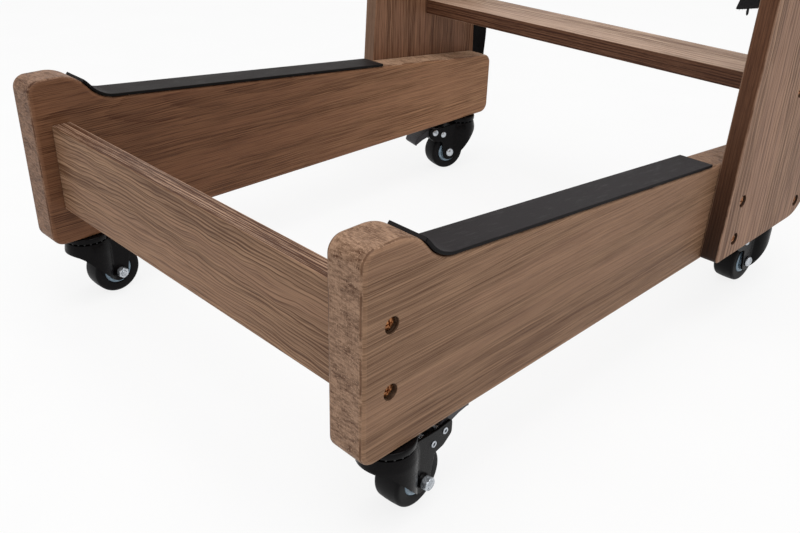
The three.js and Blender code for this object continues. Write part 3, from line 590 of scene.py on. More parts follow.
strap_finish = webbing_cloth()
# The left strip is a darker, browner copy of the same rubber: painted shade with a painted brown sheen.
strip_finish = {-1: rubber("left rubber strip", (28, 24, 23), 2.4, 0.5, 0.95),
                1: rubber("right rubber strip", (38, 35, 36), 2.4, 0.5, 0.95)}
tyre_finish = rubber("tyre rubber", (17, 16, 17), 1.6, 0.4)
bronze = metal("bronzed screws", (164, 108, 66), (56, 30, 16), 0.26, 0.8)
black_screw = metal("blackened screws", (30, 30, 31), (14, 14, 15), 0.42, 0.3, gloss=0.3)
black_steel = metal("black hood steel", (13, 11, 12), (8, 7, 8), 0.28, 0.0, 0.35, 0.08)
# Painted light: the pedal's steel is black like the hood's and a little greyer, and is lightened further
# to the grey its lit top shows.
pedal_steel_lit_grey = metal("black pedal steel with painted light", (50, 48, 52), (34, 33, 36), 0.42, 0.1, 0.5, 0.3)
zinc = metal("bright zinc", (194, 199, 205), (118, 123, 130), 0.26, 0.75)
ball_steel = metal("bearing steel", (40, 40, 42), (12, 12, 13), 0.45, 0.5)
nylon = metal("blue-grey nylon", (134, 156, 172), (96, 116, 134), 0.36, 0.0, 0.8, 0.4)


# ------------------------------------------------------------------ edges that others follow
def front_at(z):
    """Front edge of an upright at a height: it leans back by z tan 3.15 degrees."""
    return upright_front + z * math.tan(front_lean)


def rear_at(z):
    """Rear edge of an upright at a height: it leans forward by z tan 2.4 degrees."""
    return upright_rear - z * math.tan(rear_lean)


def seat_at(y):
    """Height of a rail's sloping top: 80 at its rear end, rising forward by tan 5.5 degrees."""
    return rear_height + (rail_length - y) * math.tan(slope)


# ------------------------------------------------------------------ tie straps
def smooth_path(points, steps):
    """Centripetal Catmull-Rom curve: between two points a cubic whose slopes come from the
    neighbours, each weighed by the root of its distance; the ends are extended by reflection."""
    points = np.array(points, float)
    points = np.concatenate([[2 * points[0] - points[1]], points, [2 * points[-1] - points[-2]]])
    gap = np.sqrt(np.linalg.norm(np.diff(points, axis=0), axis=1))
    gap = np.maximum(gap, 1e-3)[:, None]
    a, b, c, d = points[:-3], points[1:-2], points[2:-1], points[3:]
    g0, g1, g2 = gap[:-2], gap[1:-1], gap[2:]
    start = ((b - a) / g0 - (c - a) / (g0 + g1) + (c - b) / g1) * g1
    stop = ((c - b) / g1 - (d - b) / (g1 + g2) + (d - c) / g2) * g1
    t = (np.arange(steps) / steps)[None, :, None]
    b, c, start, stop = (item[:, None, :] for item in (b, c, start, stop))
    curve = b + start * t + (3 * (c - b) - 2 * start - stop) * t**2 \
        + (2 * (b - c) + start + stop) * t**3
    return np.concatenate([curve.reshape(-1, points.shape[1]), points[-2][None]])


def strap(word, route, widths, steps=14):
    """A flat ribbon: section points (across, thickness) carried along the path on its width
    direction and normal; the section is a slot shape slightly cupped across."""
    path = smooth_path(route, steps)
    width = smooth_path(widths, steps)
    tangent = np.gradient(path, axis=0)
    tangent /= np.linalg.norm(tangent, axis=1)[:, None]
    width -= np.sum(width * tangent, 1)[:, None] * tangent
    width /= np.linalg.norm(width, axis=1)[:, None]
    normal = np.cross(tangent, width)
    length = np.concatenate([[0], np.cumsum(np.linalg.norm(np.diff(path, axis=0), axis=1))])
    lane = np.linspace(-1, 1, 13)
    half = strap_thick / 2 * np.sqrt(1 - np.clip(np.abs(lane) * 1.02 - 0.06, 0, 1)**14)
    section = np.concatenate([np.stack([lane, half], -1), np.stack([lane, -half], -1)[::-1][1:-1]])
    across = section[:, 0] * strap_width / 2
    ripple = 0.12 * np.sin(length / 9.0)[:, None] * section[:, 0]
    grid = (path[:, None] + across[None, :, None] * width[:, None]
            + (section[:, 1] + ripple)[..., None] * normal[:, None])
    rows, count = grid.shape[:2]
    shell = Shell().add(grid, grid_faces(rows, count))
    shell.faces += [list(range(count)), list(range((rows - 1) * count, rows * count))]
    made = piece(f"webbing_strap_{word}", shell, "frame", "webbing", strap_finish,
                 f"strap_{word}", crease=50, merge=False)
    lay = np.stack([np.repeat(length, count), np.tile(across, rows)], -1)
    corner = np.zeros(len(made.data.loops), int)
    made.data.loops.foreach_get("vertex_index", corner)
    made.data.uv_layers.new(name="lay").data.foreach_set("uv", lay[corner].ravel())
    return made, path, width[-1], float(length[-1])


def threads(word, path, width, pull, count=12, tuft_count=4):
    """Loose threads at a cut end: each a thin tube on a parabola, c + t a + t^2 b, that starts
    within the strap's end and bends away; four in the middle hang together as a tuft."""
    ahead = (path[-1] - path[-2]) / np.linalg.norm(path[-1] - path[-2])
    side_way = np.cross(ahead, [0.3, 0.2, 0.9])
    side_way /= np.linalg.norm(side_way)
    other = np.cross(ahead, side_way)
    rows, around = 7, 6
    turn = np.arange(around) * math.tau / around
    ring = np.cos(turn)[:, None] * side_way + np.sin(turn)[:, None] * other
    t = np.linspace(0, 1, rows)[:, None]
    loose_thick = 0.2 * (1.05 - 0.5 * t[:, None])
    tuft_thick = 0.5 + 0.35 * np.sin(math.pi * t[:, None]**2)
    shell = Shell()
    for k in range(count):
        tuft = k >= count - tuft_count
        lane = 1.5 + 0.5 * (k - count) if tuft else (k / (count - tuft_count - 1) - 0.5) * 22
        reach = pull.uniform(6.0, 7.5) if tuft else pull.uniform(1.8, 3.4)
        fall = np.array([0, 0, -1.0]) if tuft else ahead
        line = path[-1] - ahead * 1.5 + width * lane + fall * t * reach
        line = line + t**2 * pull.normal(0, 0.4, 3)
        tube = line[:, None] + (tuft_thick if tuft else loose_thick) * ring[None]
        shell.add(tube, grid_faces(rows, around))
        for first in (shell.count - around, shell.count - rows * around):
            shell.faces.append(list(range(first, first + around)))
    return piece(f"cut_threads_{word}", shell, "frame", "webbing", black_screw)


left_drop = [[0, 0, -14], [0, 0, 0], [0, 0.3, 16], [1.5, 2.2, 50], [4.5, 5, 100],
             [7, 7.5, 150], [7.6, 8.4, 187], [5, 8, 225], [3, 6.4, 266]]
left_route = [[-239.2 + shift, rear_at(left_screw_z - drop) + 1.1 + out, left_screw_z - drop]
              for shift, out, drop in left_drop]
left_widths = [[1, 0, 0]] * len(left_route)
right_drop = [[0, -1, -14], [0, 0, 0], [0, 0, 20], [0.3, 1, 48], [3, 4, 70], [10.5, 11, 89],
              [16.5, 23, 110], [17, 43, 131]]
right_route = [[232.9 - inwards, right_screw_y - forwards, right_screw_z - drop]
               for inwards, forwards, drop in right_drop]
right_widths = [[0, 1, 0], [0, 1, 0], [0, 1, 0], [0.02, 1, 0], [0.2, 1, 0], [0.75, 0.65, 0.1],
                [0.93, 0.05, 0.2], [0.93, -0.21, 0.29]]

straps = [strap("left", left_route, left_widths), strap("right", right_route, right_widths)]
for (side, word), (band, path, width, length) in zip(SIDES, straps):
    loose = threads(word, path, width, np.random.default_rng(20 + side))


# ------------------------------------------------------------------ side rails
# The S-curve from the sloping top to the lip is two equal arcs about hollow and crest.
steepest = math.acos((1 + math.cos(slope)) / 2 - lip_rise / (2 * lip_radius))
lip_foot = lip_flat + lip_radius * (2 * math.sin(steepest) - math.sin(slope))
lip_top = seat_at(lip_foot) + lip_rise
crest = (lip_flat, lip_top - lip_radius)
hollow = (lip_foot + lip_radius * math.sin(slope), seat_at(lip_foot) + lip_radius * math.cos(slope))


def rail_outline():
    """A rail's side: straight foot, four round corners, sloping top and the curve to the lip."""
    c = corner_round
    rear = (rail_length - c, rear_height + c * math.tan(slope) - c / math.cos(slope))
    return np.concatenate([
        arc(rail_length - c, c, c, -RIGHT, 0, 14), arc(*rear, c, 0, RIGHT - slope, 14),
        arc(*hollow, lip_radius, -RIGHT - slope, -RIGHT - steepest, 20),
        arc(*crest, lip_radius, RIGHT - steepest, RIGHT, 20),
        arc(c, lip_top - c, c, RIGHT, 2 * RIGHT, 14), arc(c, c, c, 2 * RIGHT, 3 * RIGHT, 14)])


screw_nodes = sorted(node for node in frame["nodes"] if node.startswith("screw_"))


def screw_place(node):
    """A screw by its CAD node: its side, middle (y, z), how far out its head is, its length."""
    low, high = bench_box(node)
    side = 1 if high[0] > 0 else -1
    return side, (low[1:] + high[1:]) / 2, max(abs(low[0]), abs(high[0])), high[0] - low[0]


def bores_of(side, joint_words, depth):
    """The stepped bores for the screws of these joints on one side of the stand."""
    places = [screw_place(node) for node in screw_nodes
              if any(node.startswith(f"screw_{word}_") for word in joint_words)]
    return [(middle, bore(depth)) for way, middle, _, _ in places if way == side]


# The left rail is a darker copy of the same ply: partly its own tone, partly painted shade on its inner
# face, away from the light. Its fade is painted light towards the rear.
rail_looks = {
    -1: dict(tone=(107, 72, 49), edge=(118, 88, 68), seed=41.0, heart=(210.0, 190.0), period=5.0,
             figure=0.4, contrast=1.5, fine=1.8, rubbed=0.3, fade=(-280.0, 320.0)),
    1: dict(tone=(134, 103, 79), edge=(132, 102, 80), seed=3.0, heart=(300.0, -240.0), period=4.5,
            figure=0.35, contrast=1.25, fine=2.3, rubbed=0.3),
}
for side, word in SIDES:
    shell = plate(rail_outline(), *span(side, rail_inner, rail_outer), rail_ease,
                  bores_of(side, ["front_board"], rail_bore_depth), side, 6)
    piece(f"side_rail_{word}", shell, "frame", "stained_wood",
          plywood(f"{word} rail ply", (1, 2, 0), **rail_looks[side]), f"rail_{word}")

# ------------------------------------------------------------------ uprights
# The left upright is a darker copy of the same ply: partly its own tone, partly painted shade on its
# inner face. The right upright's front edge darkens towards the bottom: stain and painted shade.
upright_looks = {
    -1: dict(tone=(125, 90, 67), edge=(122, 92, 72), seed=57.0, heart=(330.0, 610.0), period=5.0,
             figure=1.0, contrast=1.9, plies=0.25),
    1: dict(tone=(139, 108, 87), edge=(95, 61, 41), seed=12.0, heart=(120.0, 560.0), period=6.5,
            figure=1.1, contrast=1.5, fine=0.75, plies=0.35, low_front_stain_and_shade=(0.0, 300.0)),
}
upright_outline = rounded([
    (front_at(upright_foot), upright_foot, toe_round), (rear_at(upright_foot), upright_foot, heel_round),
    (rear_at(upright_top), upright_top, top_round), (front_at(upright_top), upright_top, top_round)], 14)
for side, word in SIDES:
    bores = bores_of(side, ["upright", "lower_cross", "upper_cross"], upright_bore_depth)
    shell = plate(upright_outline, *span(side, upright_inner, upright_outer), board_ease, bores, side)
    piece(f"upright_board_{word}", shell, "frame", "stained_wood",
          plywood(f"{word} upright ply", (2, 1, 0), **upright_looks[side]), f"upright_{word}")


# ------------------------------------------------------------------ cross boards
def cross_board(name, node, **look):
    """A board lying across the stand: its eased (y, z) section carried along x, all from its
    box. Its thinner way is through its plies."""
    low, high = bench_box(node)
    outline = rounded([(y, z, board_ease) for y, z in (low[1:], (high[1], low[2]), high[1:],
                                                       (low[1], high[2]))], 5)
    through = 1 if high[1] - low[1] < high[2] - low[2] else 2
    piece(name, plate(outline, low[0], high[0], cross_ease), "frame", "stained_wood",
          plywood(f"{name} ply", (0, 3 - through, through), **look), node)


cross_board("front_cross_board", "front_board", tone=(134, 103, 79), edge=(127, 98, 78),
            seed=23.0, heart=(72.0, 28.0), period=3.6, figure=1.6, contrast=1.45, oval=0.13,
            rubbed=0.0, plies=3.4)
cross_board("lower_cross_board", "lower_cross_rail", tone=(170, 143, 122), edge=(98, 65, 46),
            seed=31.0, heart=(-40.0, 400.0), period=7.0, figure=0.8, contrast=1.5, fine=0.6,
            rubbed=0.0, plies=0.8)
cross_board("upper_cross_board", "upper_cross_rail", tone=(128, 101, 80), edge=(112, 84, 66),
            seed=35.0, heart=(60.0, 420.0), period=5.0, figure=1.0, contrast=1.2, plies=0.5)


# ------------------------------------------------------------------ rubber strips
def strip_outline():
    """A strip's side: the rail's top from behind the crest to its end, moved out for its
    underside and again for its top."""
    end = front_at(seat_at(upright_front)) - strip_to_upright
    start = RIGHT - math.asin((strip_start - lip_flat) / lip_radius)
    rise = np.array([math.sin(slope), math.cos(slope)])
    under, top = (np.concatenate([
        arc(*crest, lip_radius + out, start, RIGHT - steepest, 16),
        arc(*hollow, lip_radius - out, -RIGHT - steepest, -RIGHT - slope, 16),
        [np.array([end, seat_at(end)]) + rise * out]]) for out in (strip_under, strip_top))
    return np.concatenate([under, top[::-1]])


for side, word in SIDES:
    shell = plate(strip_outline(), *span(side, rail_inner, rail_outer), 0.7, arris=3, spread=0.3)
    piece(f"rubber_strip_{word}", shell, "frame", "rubber_strip", strip_finish[side],
          f"tread_{word}")


# ------------------------------------------------------------------ screws
def cross_recess(reach, depth):
    """A driver's cross sunk in a head: depth where a point is inside either arm, less towards
    the arm's end and with sloping walls."""
    def wave(radius, height, angle):
        x, y = radius * np.cos(angle), radius * np.sin(angle)
        arm = np.zeros_like(x)
        for along, beside in ((x, y), (y, x)):
            end = np.clip((reach - np.abs(along)) / 0.5, 0, 1)
            wall = np.clip((0.62 - np.abs(beside)) / 0.22, 0, 1)
            slant = 1 - 0.45 * np.clip(np.abs(along) / reach, 0, 1)
            arm = np.maximum(arm, depth * end * wall * slant)
        return radius, height - np.where(height > 0, arm, 0)
    return wave


def head_rows(radius, height, crown=0.28):
    """Rows of a pan head: z = h (1 - crown (r/R)^2), rolled down over the rim to the seat."""
    top = [(r, height * (1 - crown * (r / radius) ** 2))
           for r in np.concatenate([[0.004], np.linspace(0.12, 0.88, 24) * radius])]
    lip = height * (1 - crown * 0.78)
    turn = np.linspace(0, RIGHT, 6)[1:]
    return top + [(radius * (0.88 + 0.12 * math.sin(a)), lip * (0.35 + 0.65 * math.cos(a)))
                  for a in turn]


def screw(name, rows, recess, seat, ways, *looks):
    """A screw turned about z with its driver's cross, then stood in the wood: its seat plus
    its x, y and z times the three ways."""
    points, faces = lathe(rows, 72, wave=cross_recess(*recess))
    piece(name, Shell().add(points @ np.array(ways) + seat, faces), "frame", *looks, crease=50)


spins = np.random.default_rng(7).uniform(0, math.tau, len(screw_nodes))
for node, spin in zip(screw_nodes, spins):
    side, middle, out, length = screw_place(node)
    tail = length - head_height
    rows = head_rows(head_radius, head_height + head_lift) + [
        (head_radius, 0.0), (shank_radius, -0.01), (shank_radius, 6 - tail), (0.02, -tail)]
    cosine, sine = math.cos(spin), math.sin(spin)
    screw(f"cross_head_{node[6:]}", rows, (3.3, 1.9), [side * (out - head_height), *middle],
          [[0, cosine, side * sine], [0, -sine, side * cosine], [side, 0, 0]],
          "bronzed_steel", bronze, node)

# The left strap's screw leans with the upright's rear edge; the right one points inwards.
cosine, sine = math.cos(rear_lean), math.sin(rear_lean)
washer_rows = head_rows(4.4, 3.2) + [(4.4, 1.5), (5.2, 1.35), (7.4, 1.05), (8.0, 0.7), (8.0, 0.0),
                                     (2.3, 0.0), (2.3, -12.0), (0.02, -14.0)]
for word, seat, ways in (
        ("left", [left_screw_x, rear_at(left_screw_z) + 2.1, left_screw_z],
         [[-1, 0, 0], [0, -sine, cosine], [0, cosine, sine]]),
        ("right", [right_screw_x, right_screw_y, right_screw_z],
         [[0, 1, 0], [0, 0, 1], [-1, 0, 0]])):
    screw(f"strap_washer_screw_{word}", washer_rows, (2.7, 1.7), seat, ways, "black_steel",
          black_screw, f"strap_screw_{word}")


# ------------------------------------------------------------------ casters
# Each is drawn at its swivel: z = 0 on the rail's underside, y trailing, x along its axle.
tyre_radius = 25.0
axle = (0.0, 23.0, -48.0)
hood_inner, hood_outer, skirt_radius, crown_top = 13.2, 15.4, 22.6, -7.6
lever_pivot, stay_rivet = (47.229, -16.424), (33.938, -20.926)
nut_seat, lever_width, pressed = hood_outer + 2.3, 12.8, math.radians(-34.0)


def both_sides(face, tread=()):
    """A closed section from the rows of one side, outwards from the axle: the same rows
    mirrored, then the tread, then back along this side."""
    other = [(radius, -x) for radius, x in face]
    return other + list(tread) + face[::-1] + other[:1]


def on_axle(rows, steps, wave=None, centre=axle):
    """A profile turned about the axle, or about another line along x."""
    return lathe(rows, steps, centre, "x", wave)


def caster_place(which):
    """Local millimetres to the frame: swivel + x * axle direction + y * trailing + z * up."""
    across = np.array(joints[f"wheel_spin_{which}"]["axis"], float)
    across /= np.linalg.norm(across)
    back = np.array([-across[1], across[0], 0.0])
    start = np.array(joints[f"swivel_{which}"]["pos_m"], float)
    turn = np.stack([across, back, [0, 0, 1.0]])
    return lambda points: start + np.asarray(points, float) * MM @ turn


def cap_shell():
    """Upper swivel head: a shallow turned cap with a rolled rim, its kingpin and its stem."""
    rows = [(0.02, 22), (6.2, 22), (7.2, 21), (7.2, 0.2), (5.2, 0.2), (5.2, -0.3), (20.4, -0.3),
            (21.0, -0.5), (21.4, -0.95), (21.5, -1.6), (21.5, -4.7), (21.3, -5.25), (20.8, -5.5),
            (20.3, -5.3), (20.1, -4.8), (20.0, -3.4), (19.4, -2.8), (4.0, -2.8), (4.0, -10.9),
            (6.3, -10.9), (6.5, -11.3), (6.3, -12.3), (5.0, -13.2), (0.02, -13.4)]
    return Shell().add(*lathe(rows, 72))


def skirt_radius_at(z):
    """The skirt's radius at a height: rolled over from the crown, then a slight flare."""
    return np.interp(-z, [7.6, 7.75, 8.2, 9.2, 11.6, 16.6], [18.6, 19.6, 20.4, 21.0, 21.7, 22.6])


def skirt_edge(y):
    """The skirt's lower edge by the place along the caster: level in front, steepening to the
    axle boss behind."""
    return np.interp(y, [-22.6, -20, -17, -14, -10, -5, 0, 5, 10, 14, 16.5, 19.5],
                     [-18.3, -19.1, -20.3, -22.5, -26.5, -32.3, -38.0, -43.8, -49.3, -54.0,
                      -56.4, -58.0])


def hood_surface(wall):
    """The pressed front, a row for each height and a column for each place round its plan. In
    front the plan is a circle about the swivel; beside, x is a smooth maximum of the circle and
    the flat leg, which leaves a crease; z runs from the crown down to the skirt's edge. The wall
    moves both inwards."""
    turn = np.linspace(0, RIGHT, 26)
    beside = np.concatenate([np.linspace(19.5, 17.0, 6), np.linspace(16.6, 0.6, 18)])
    y = np.concatenate([beside, -skirt_radius * np.sin(turn), -skirt_radius * np.sin(turn[::-1][1:]),
                        beside[::-1]])
    half = len(beside) + len(turn)
    sign = np.where(np.arange(len(y)) < half, -1.0, 1.0)
    sign[half - 1] = 0.0
    share = np.concatenate([np.linspace(0, 0.02, 3), np.linspace(0.04, 0.2, 7),
                            np.linspace(0.26, 1, 14)])
    roof = np.interp(y, [14.0, 17.8, 24.8], [crown_top - 0.05, -8.3, -13.0])
    z = roof + (skirt_edge(y) - roof) * share[:, None]
    scale = (skirt_radius_at(z) - wall) / skirt_radius
    front = y * np.where(y < 0, scale, 1.0)
    circle = np.sqrt(np.clip((skirt_radius * scale) ** 2 - front**2, 0, None))
    leg = hood_outer - wall
    soft = (circle + leg + np.sqrt((circle - leg) ** 2 + 1.0)) / 2
    beside_share = np.clip((y + 4.0) / 4.0, 0, 1)
    x = sign * (circle * (1 - beside_share) + soft * beside_share)
    return np.stack([x, front, z], -1)


def hood_shell():
    """The hood: pressed skirt as two surfaces joined at their borders, a flat leg on each side
    with its brake arm and axle boss, and the turned crown with its raised race."""
    outer, inner = hood_surface(0.0), hood_surface(2.2)
    inner[:, :, 2] = np.minimum(inner[:, :, 2], crown_top - 2.0)
    rows, columns = outer.shape[:2]
    count = rows * columns
    faces = grid_faces(rows, columns, False)
    border = np.concatenate([np.arange(columns), np.arange(1, rows) * columns + columns - 1,
                             (rows - 1) * columns + np.arange(columns - 1)[::-1],
                             np.arange(1, rows - 1)[::-1] * columns])
    after = np.roll(border, -1)
    joint = np.stack([after, border, border + count, after + count], -1)
    shell = Shell().add(np.concatenate([outer, inner]),
                        np.concatenate([faces, faces[:, ::-1] + count, joint]))
    y, z = lever_pivot
    leg = rounded([(15.6, -8.4, 0), (15.6, -55.8, 0), (20.5, -59.0, 4), (31.0, -58.0, 8.5),
                   (33.4, -44.0, 5), (36.0, -30.6, 3), (y - 1.0, z - 13.0, 7), (y + 8.8, z - 6.5, 5),
                   (y + 8.8, z + 6.0, 3), (38.0, -10.6, 4), (17.8, -8.0, 1)], 8)
    for side, _ in SIDES:
        shell.join(plate(leg, *span(side, hood_inner, hood_outer), 0.45, arris=3, spread=0.25))
    crown = [(4.3, -7.6), (11.0, -7.6), (11.4, -7.4), (11.8, -3.6), (12.2, -3.2), (14.4, -3.2),
             (14.8, -3.6), (15.2, -7.3), (15.6, -7.6), (19.6, -7.6), (20.4, -7.8), (20.8, -8.4),
             (20.8, -9.9), (20.3, -10.5), (4.3, -10.6), (4.3, -7.6)]
    collar = [(3.0, hood_outer - 0.4), (6.6, hood_outer - 0.4), (6.0, hood_outer + 0.7),
              (5.7, nut_seat), (3.0, nut_seat), (3.0, hood_outer - 0.4)]
    return shell.add(*on_axle(collar, 48)).add(*lathe(crown, 72))


def balls_shell(count=21, radius=0.98, ring=19.75, height=-6.5):
    """The swivel's ball ring: one small sphere repeated round the swivel by an angle."""
    rows = [(radius * math.sin(a) + 1e-4, radius * math.cos(a)) for a in np.linspace(0, math.pi, 9)]
    shell = Shell()
    for turn in np.arange(count) * math.tau / count:
        shell.add(*lathe(rows, 12, (ring * math.cos(turn), ring * math.sin(turn), height)))
    return shell


def tyre_shell():
    """The tyre: a barely crowned tread, elliptic shoulders, flat walls down to the hub."""
    tread = [(tyre_radius - 0.4 * (x / 8.3) ** 2, x) for x in np.linspace(-8.3, 8.3, 15)]
    face = [(14.6, 10.2), (14.8, 10.8), (15.4, 11.1), (17.0, 11.3), (19.0, 11.45)]
    face += [(21.5 + 3.1 * math.cos(a), 8.3 + 3.2 * math.sin(a))
             for a in np.linspace(0, RIGHT, 9)[:0:-1]]
    return Shell().add(*on_axle(both_sides(face, tread), 128))


def hub_shell():
    """The hub: rim, raised ring, sunk dish and centre boss on each face, and in each dish eight
    ribs, raised where cos(8a) is near its top."""
    face = [(3.1, 12.7), (6.0, 12.7), (6.4, 12.2), (6.6, 9.6), (7.4, 9.2), (10.2, 9.2), (10.8, 9.9),
            (11.1, 11.0), (11.6, 11.4), (13.5, 11.4), (14.0, 11.1), (14.3, 10.4), (14.7, 10.1)]

    def ribbed(radius, height, angle):
        rib = np.clip(np.cos(8 * angle) * 4 - 3, 0, 1)
        dish = (radius > 7.2) & (radius < 10.5)
        return radius, height + np.sign(height) * 1.3 * rib * dish
    return Shell().add(*on_axle(both_sides(face), 160, ribbed))


def hexagon(radius, height, angle):
    """Turns a round nut to a hexagon 9.8 across its flats: the radius is held under half of
    that / cos of the angle from the nearest flat's middle."""
    off = (angle + 0.1 + math.pi / 6) % (math.pi / 3) - math.pi / 6
    return np.minimum(radius, 9.8 / 2 / np.cos(off)), height


def threaded(radius, height, angle):
    """A screw thread: the radius less a triangle wave of height / pitch + turns."""
    phase = (height / 0.8 + angle / math.tau) % 1.0
    return radius - np.where(radius > 1.0, 0.38 * np.abs(2 * phase - 1), 0), height


def axle_shell():
    """Axle: domed head on the far side, shank, chamfered hexagon nut and threaded end."""
    seat, base = hood_outer + 0.3, nut_seat
    head = [(3.0, -seat), (5.6, -seat), (5.8, -seat - 0.5), (5.5, -seat - 1.8), (4.6, -seat - 2.9),
            (3.0, -seat - 3.7), (1.2, -seat - 4.0), (0.02, -seat - 4.05)]
    shank = [(0.02, -seat - 0.5), (3.0, -seat - 0.5), (3.0, seat + 5.5), (0.02, seat + 5.5)]
    nut = [(2.9, base), (5.2, base), (5.6, base + 0.5), (5.7, base + 1.0), (5.7, base + 4.1),
           (5.5, base + 4.6), (4.8, base + 5.1), (3.3, base + 5.1), (2.9, base + 4.7),
           (2.9, base)]
    thread = [(2.95, x) for x in np.linspace(base + 3.0, base + 5.3, 18)]
    thread += [(2.4, base + 5.6), (0.02, base + 5.6)]
    return (Shell().add(*on_axle(head, 48)).add(*on_axle(shank, 32))
            .add(*on_axle(nut, 72, hexagon)).add(*on_axle(thread, 48, threaded)))


def rivets_shell():
    """The stay rivet and the lever's pivot: a domed head on the far side, a rolled hollow end
    with a dark bore on the near side."""
    shell = Shell()
    seat = hood_outer + 0.05
    for (y, z), size in ((stay_rivet, 4.2), (lever_pivot, 4.5)):
        dome = [(2.4, -seat), (size, -seat), (size * 0.98, -seat - 0.5), (size * 0.8, -seat - 1.25),
                (size * 0.45, -seat - 1.7), (0.02, -seat - 1.8)]
        roll = [(1.6, seat), (2.7, seat), (2.75, seat + 0.35), (2.4, seat + 0.85),
                (1.9, seat + 0.95), (1.45, seat + 0.6), (1.3, seat - 1.9), (0.02, seat - 2.0)]
        pin = [(0.02, -seat), (2.35, -seat), (2.35, seat - 0.1), (1.6, seat - 0.1), (1.6, seat - 2.4),
               (0.02, seat - 2.4)]
        for rows in (dome, roll, pin):
            shell.add(*on_axle(rows, 40, centre=(0.0, y, z)))
    return shell


def tipped(angle):
    """Turns lever points about its pivot by an angle in the (y, z) plane."""
    pivot, cosine, sine = np.array([0.0, *lever_pivot]), math.cos(angle), math.sin(angle)
    ways = np.array([[1, 0, 0], [0, cosine, sine], [0, -sine, cosine]])
    return lambda points: (points - pivot) @ ways + pivot


def pedal_shell(press):
    """The brake lever, one bent channel inside the hood's arms: two cheeks, a pedal across them
    that rolls over at its end, and a tongue that stops short of the tyre. A pressed lever has
    its channel turned about the pivot."""
    y, z = lever_pivot
    outer, inner = lever_width, lever_width - 1.5
    cheek = rounded([(y - 5.5, z + 2, 3), (y - 5.5, z - 6, 3), (y + 3, z - 7.5, 4),
                     (y + 11, z + 1.6, 5), (y + 20, z + 3.6, 6), (y + 31, z + 4.2, 1),
                     (y + 31.6, z + 7.6, 2), (y + 27, z + 10.3, 5), (y + 1, z + 9.8, 4)], 6)
    shape = rounded([(y + 0.5, z + 9.6, 0), (y + 14, z + 11.0, 12), (y + 27, z + 10.9, 6),
                     (y + 32.4, z + 7.4, 3), (y + 32.4, z + 3.6, 0.6), (y + 30.8, z + 3.6, 0.6),
                     (y + 30.8, z + 6.8, 2), (y + 26.4, z + 9.3, 5), (y + 14, z + 9.4, 12),
                     (y + 0.5, z + 8.0, 0)], 8)
    shell = Shell()
    for outline, low, high in ((cheek, inner, outer), (cheek, -outer, -inner),
                               (shape, -outer, outer)):
        shell.join(plate(outline, low, high, 0.4, arris=3, spread=0.25), tipped(press))
    root = z + (5.0 if press else 8.4)
    tongue = rounded([(y + 4, root, 0), (y + 1.5, z - 5, 4), (44.15, -30.5, 0.5),
                      (45.9, -31.0, 0.5), (y + 6, z - 5, 4), (y + 8.5, root, 0)], 6)
    return shell.join(plate(tongue, -9.0, 9.0, 0.4, arris=3, spread=0.25))


def pedal_ribs_shell(press):
    """Five grip ribs on the pedal: half rounds carried across it."""
    y, z = lever_pivot
    shell = Shell()
    for along in (14.0, 17.0, 20.0, 23.0, 26.0):
        rib = arc(y + along, z + 10.55, 0.7, 0, math.pi, 8)
        shell.join(plate(rib, -9.5, 9.5, 0.2, arris=2, spread=0.12), tipped(press))
    return shell


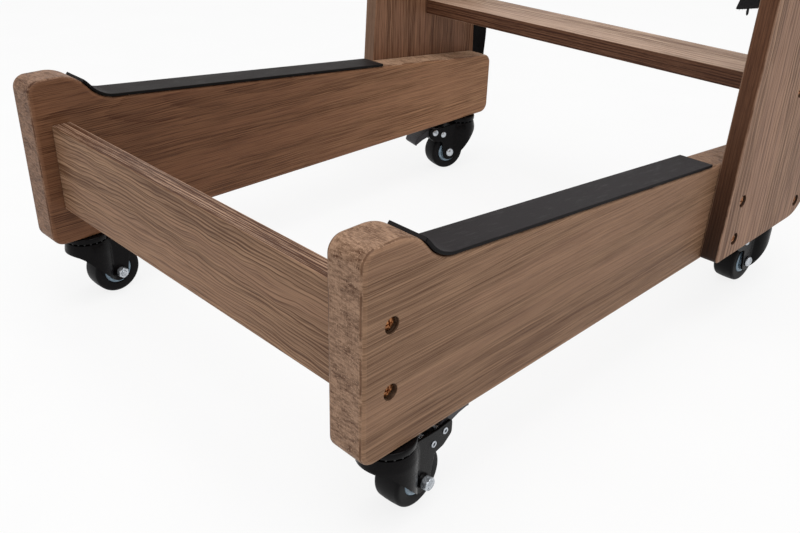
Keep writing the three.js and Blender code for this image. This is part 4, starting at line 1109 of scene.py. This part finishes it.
for which in ("front_left", "front_right", "rear_left", "rear_right"):
    place = caster_place(which)
    fork, wheel, lever = f"fork_{which}", f"wheel_{which}", f"brake_lever_{which}"
    press = pressed if which == "rear_left" else 0.0
    for name, shell, body, slot, finish, node in (
            ("caster_cap", cap_shell(), "frame", "black_steel", black_steel, "caster_stem"),
            ("caster_hood", hood_shell(), fork, "black_steel", black_steel, "fork"),
            ("bearing_balls", balls_shell(), fork, "zinc_steel", ball_steel, None),
            ("rivets", rivets_shell(), fork, "zinc_steel", zinc, None),
            ("axle_nut", axle_shell(), fork, "zinc_steel", zinc, "axle_bolt"),
            ("tyre_band", tyre_shell(), wheel, "tyre", tyre_finish, "tyre"),
            ("wheel_hub", hub_shell(), wheel, "grey_nylon", nylon, "hub"),
            ("brake_pedal", pedal_shell(press), lever, "black_steel", pedal_steel_lit_grey, "brake_lever"),
            ("pedal_ribs", pedal_ribs_shell(press), lever, "black_steel", pedal_steel_lit_grey, None)):
        piece(f"{name}_{which}", shell, body, slot, finish, node and f"{node}_{which}", place,
              crease=35 if name == "caster_hood" else 38)


# ------------------------------------------------------------------ floor, light and background
def white_when_seen(finish, shader, kind, share):
    """The shader with a share of plain white over it for the rays of the camera, of reflections
    and of glass, and untouched for all others."""
    seen = finish.node("LightPath", out=("Is Camera Ray", "Is Glossy Ray",
                                                   "Is Transmission Ray"))
    white = finish.node(kind, None, {"Color": (1, 1, 1, 1), "Strength": 1.0})
    return finish.node("MixShader", None,
                       {0: seen[0].most(seen[1]).most(seen[2]) * share, 1: shader, 2: white})


floor_finish = Finish("pale floor")
x, y, _ = floor_finish.place()
pale = floor_finish.ramp(floor_finish.noise(x * 0.01, y * 0.01, 0.0, 3.0),
                         [(0.3, (0.84, 0.84, 0.84, 1)), (0.7, (0.88, 0.88, 0.88, 1))])
plain = floor_finish.node("BsdfPrincipled", None,
                          {"Base Color": pale, "Roughness": 0.9, "Specular IOR Level": 0.1})
floor_finish.end(white_when_seen(floor_finish, plain, "Emission", 0.84))
floor_mesh = bpy.data.meshes.new("floor")
floor_mesh.from_pydata([(-6, -6, 0), (6, -6, 0), (6, 6, 0), (-6, 6, 0)], [], [(0, 1, 2, 3)])
floor_mesh.materials.append(floor_finish.material)
put("floor", floor_mesh)

scene.world = bpy.data.worlds.new("soft studio")
room = Finish("soft studio", scene.world)
dim = room.node("Background", None, {"Color": (1, 1, 1, 1), "Strength": 0.62})
room.end(white_when_seen(room, dim, "Background", 1.0), "World")

# One square soft lamp overhead, aimed at the middle of the stand.
light = bpy.data.lights.new("overhead softbox", "AREA")
light.shape = "SQUARE"
light.size = 2.2
light.energy = 42.0
lamp = put("overhead softbox", light)
lamp.location = (0.4, -0.3, 2.6)
aim = np.array([0.0, 0.0, 0.25]) - np.array(lamp.location)
lamp.rotation_euler = (math.atan2(math.hypot(aim[0], aim[1]), -aim[2]), 0.0,
                       math.atan2(aim[1], aim[0]) - RIGHT)

scene.view_settings.view_transform = "Standard"
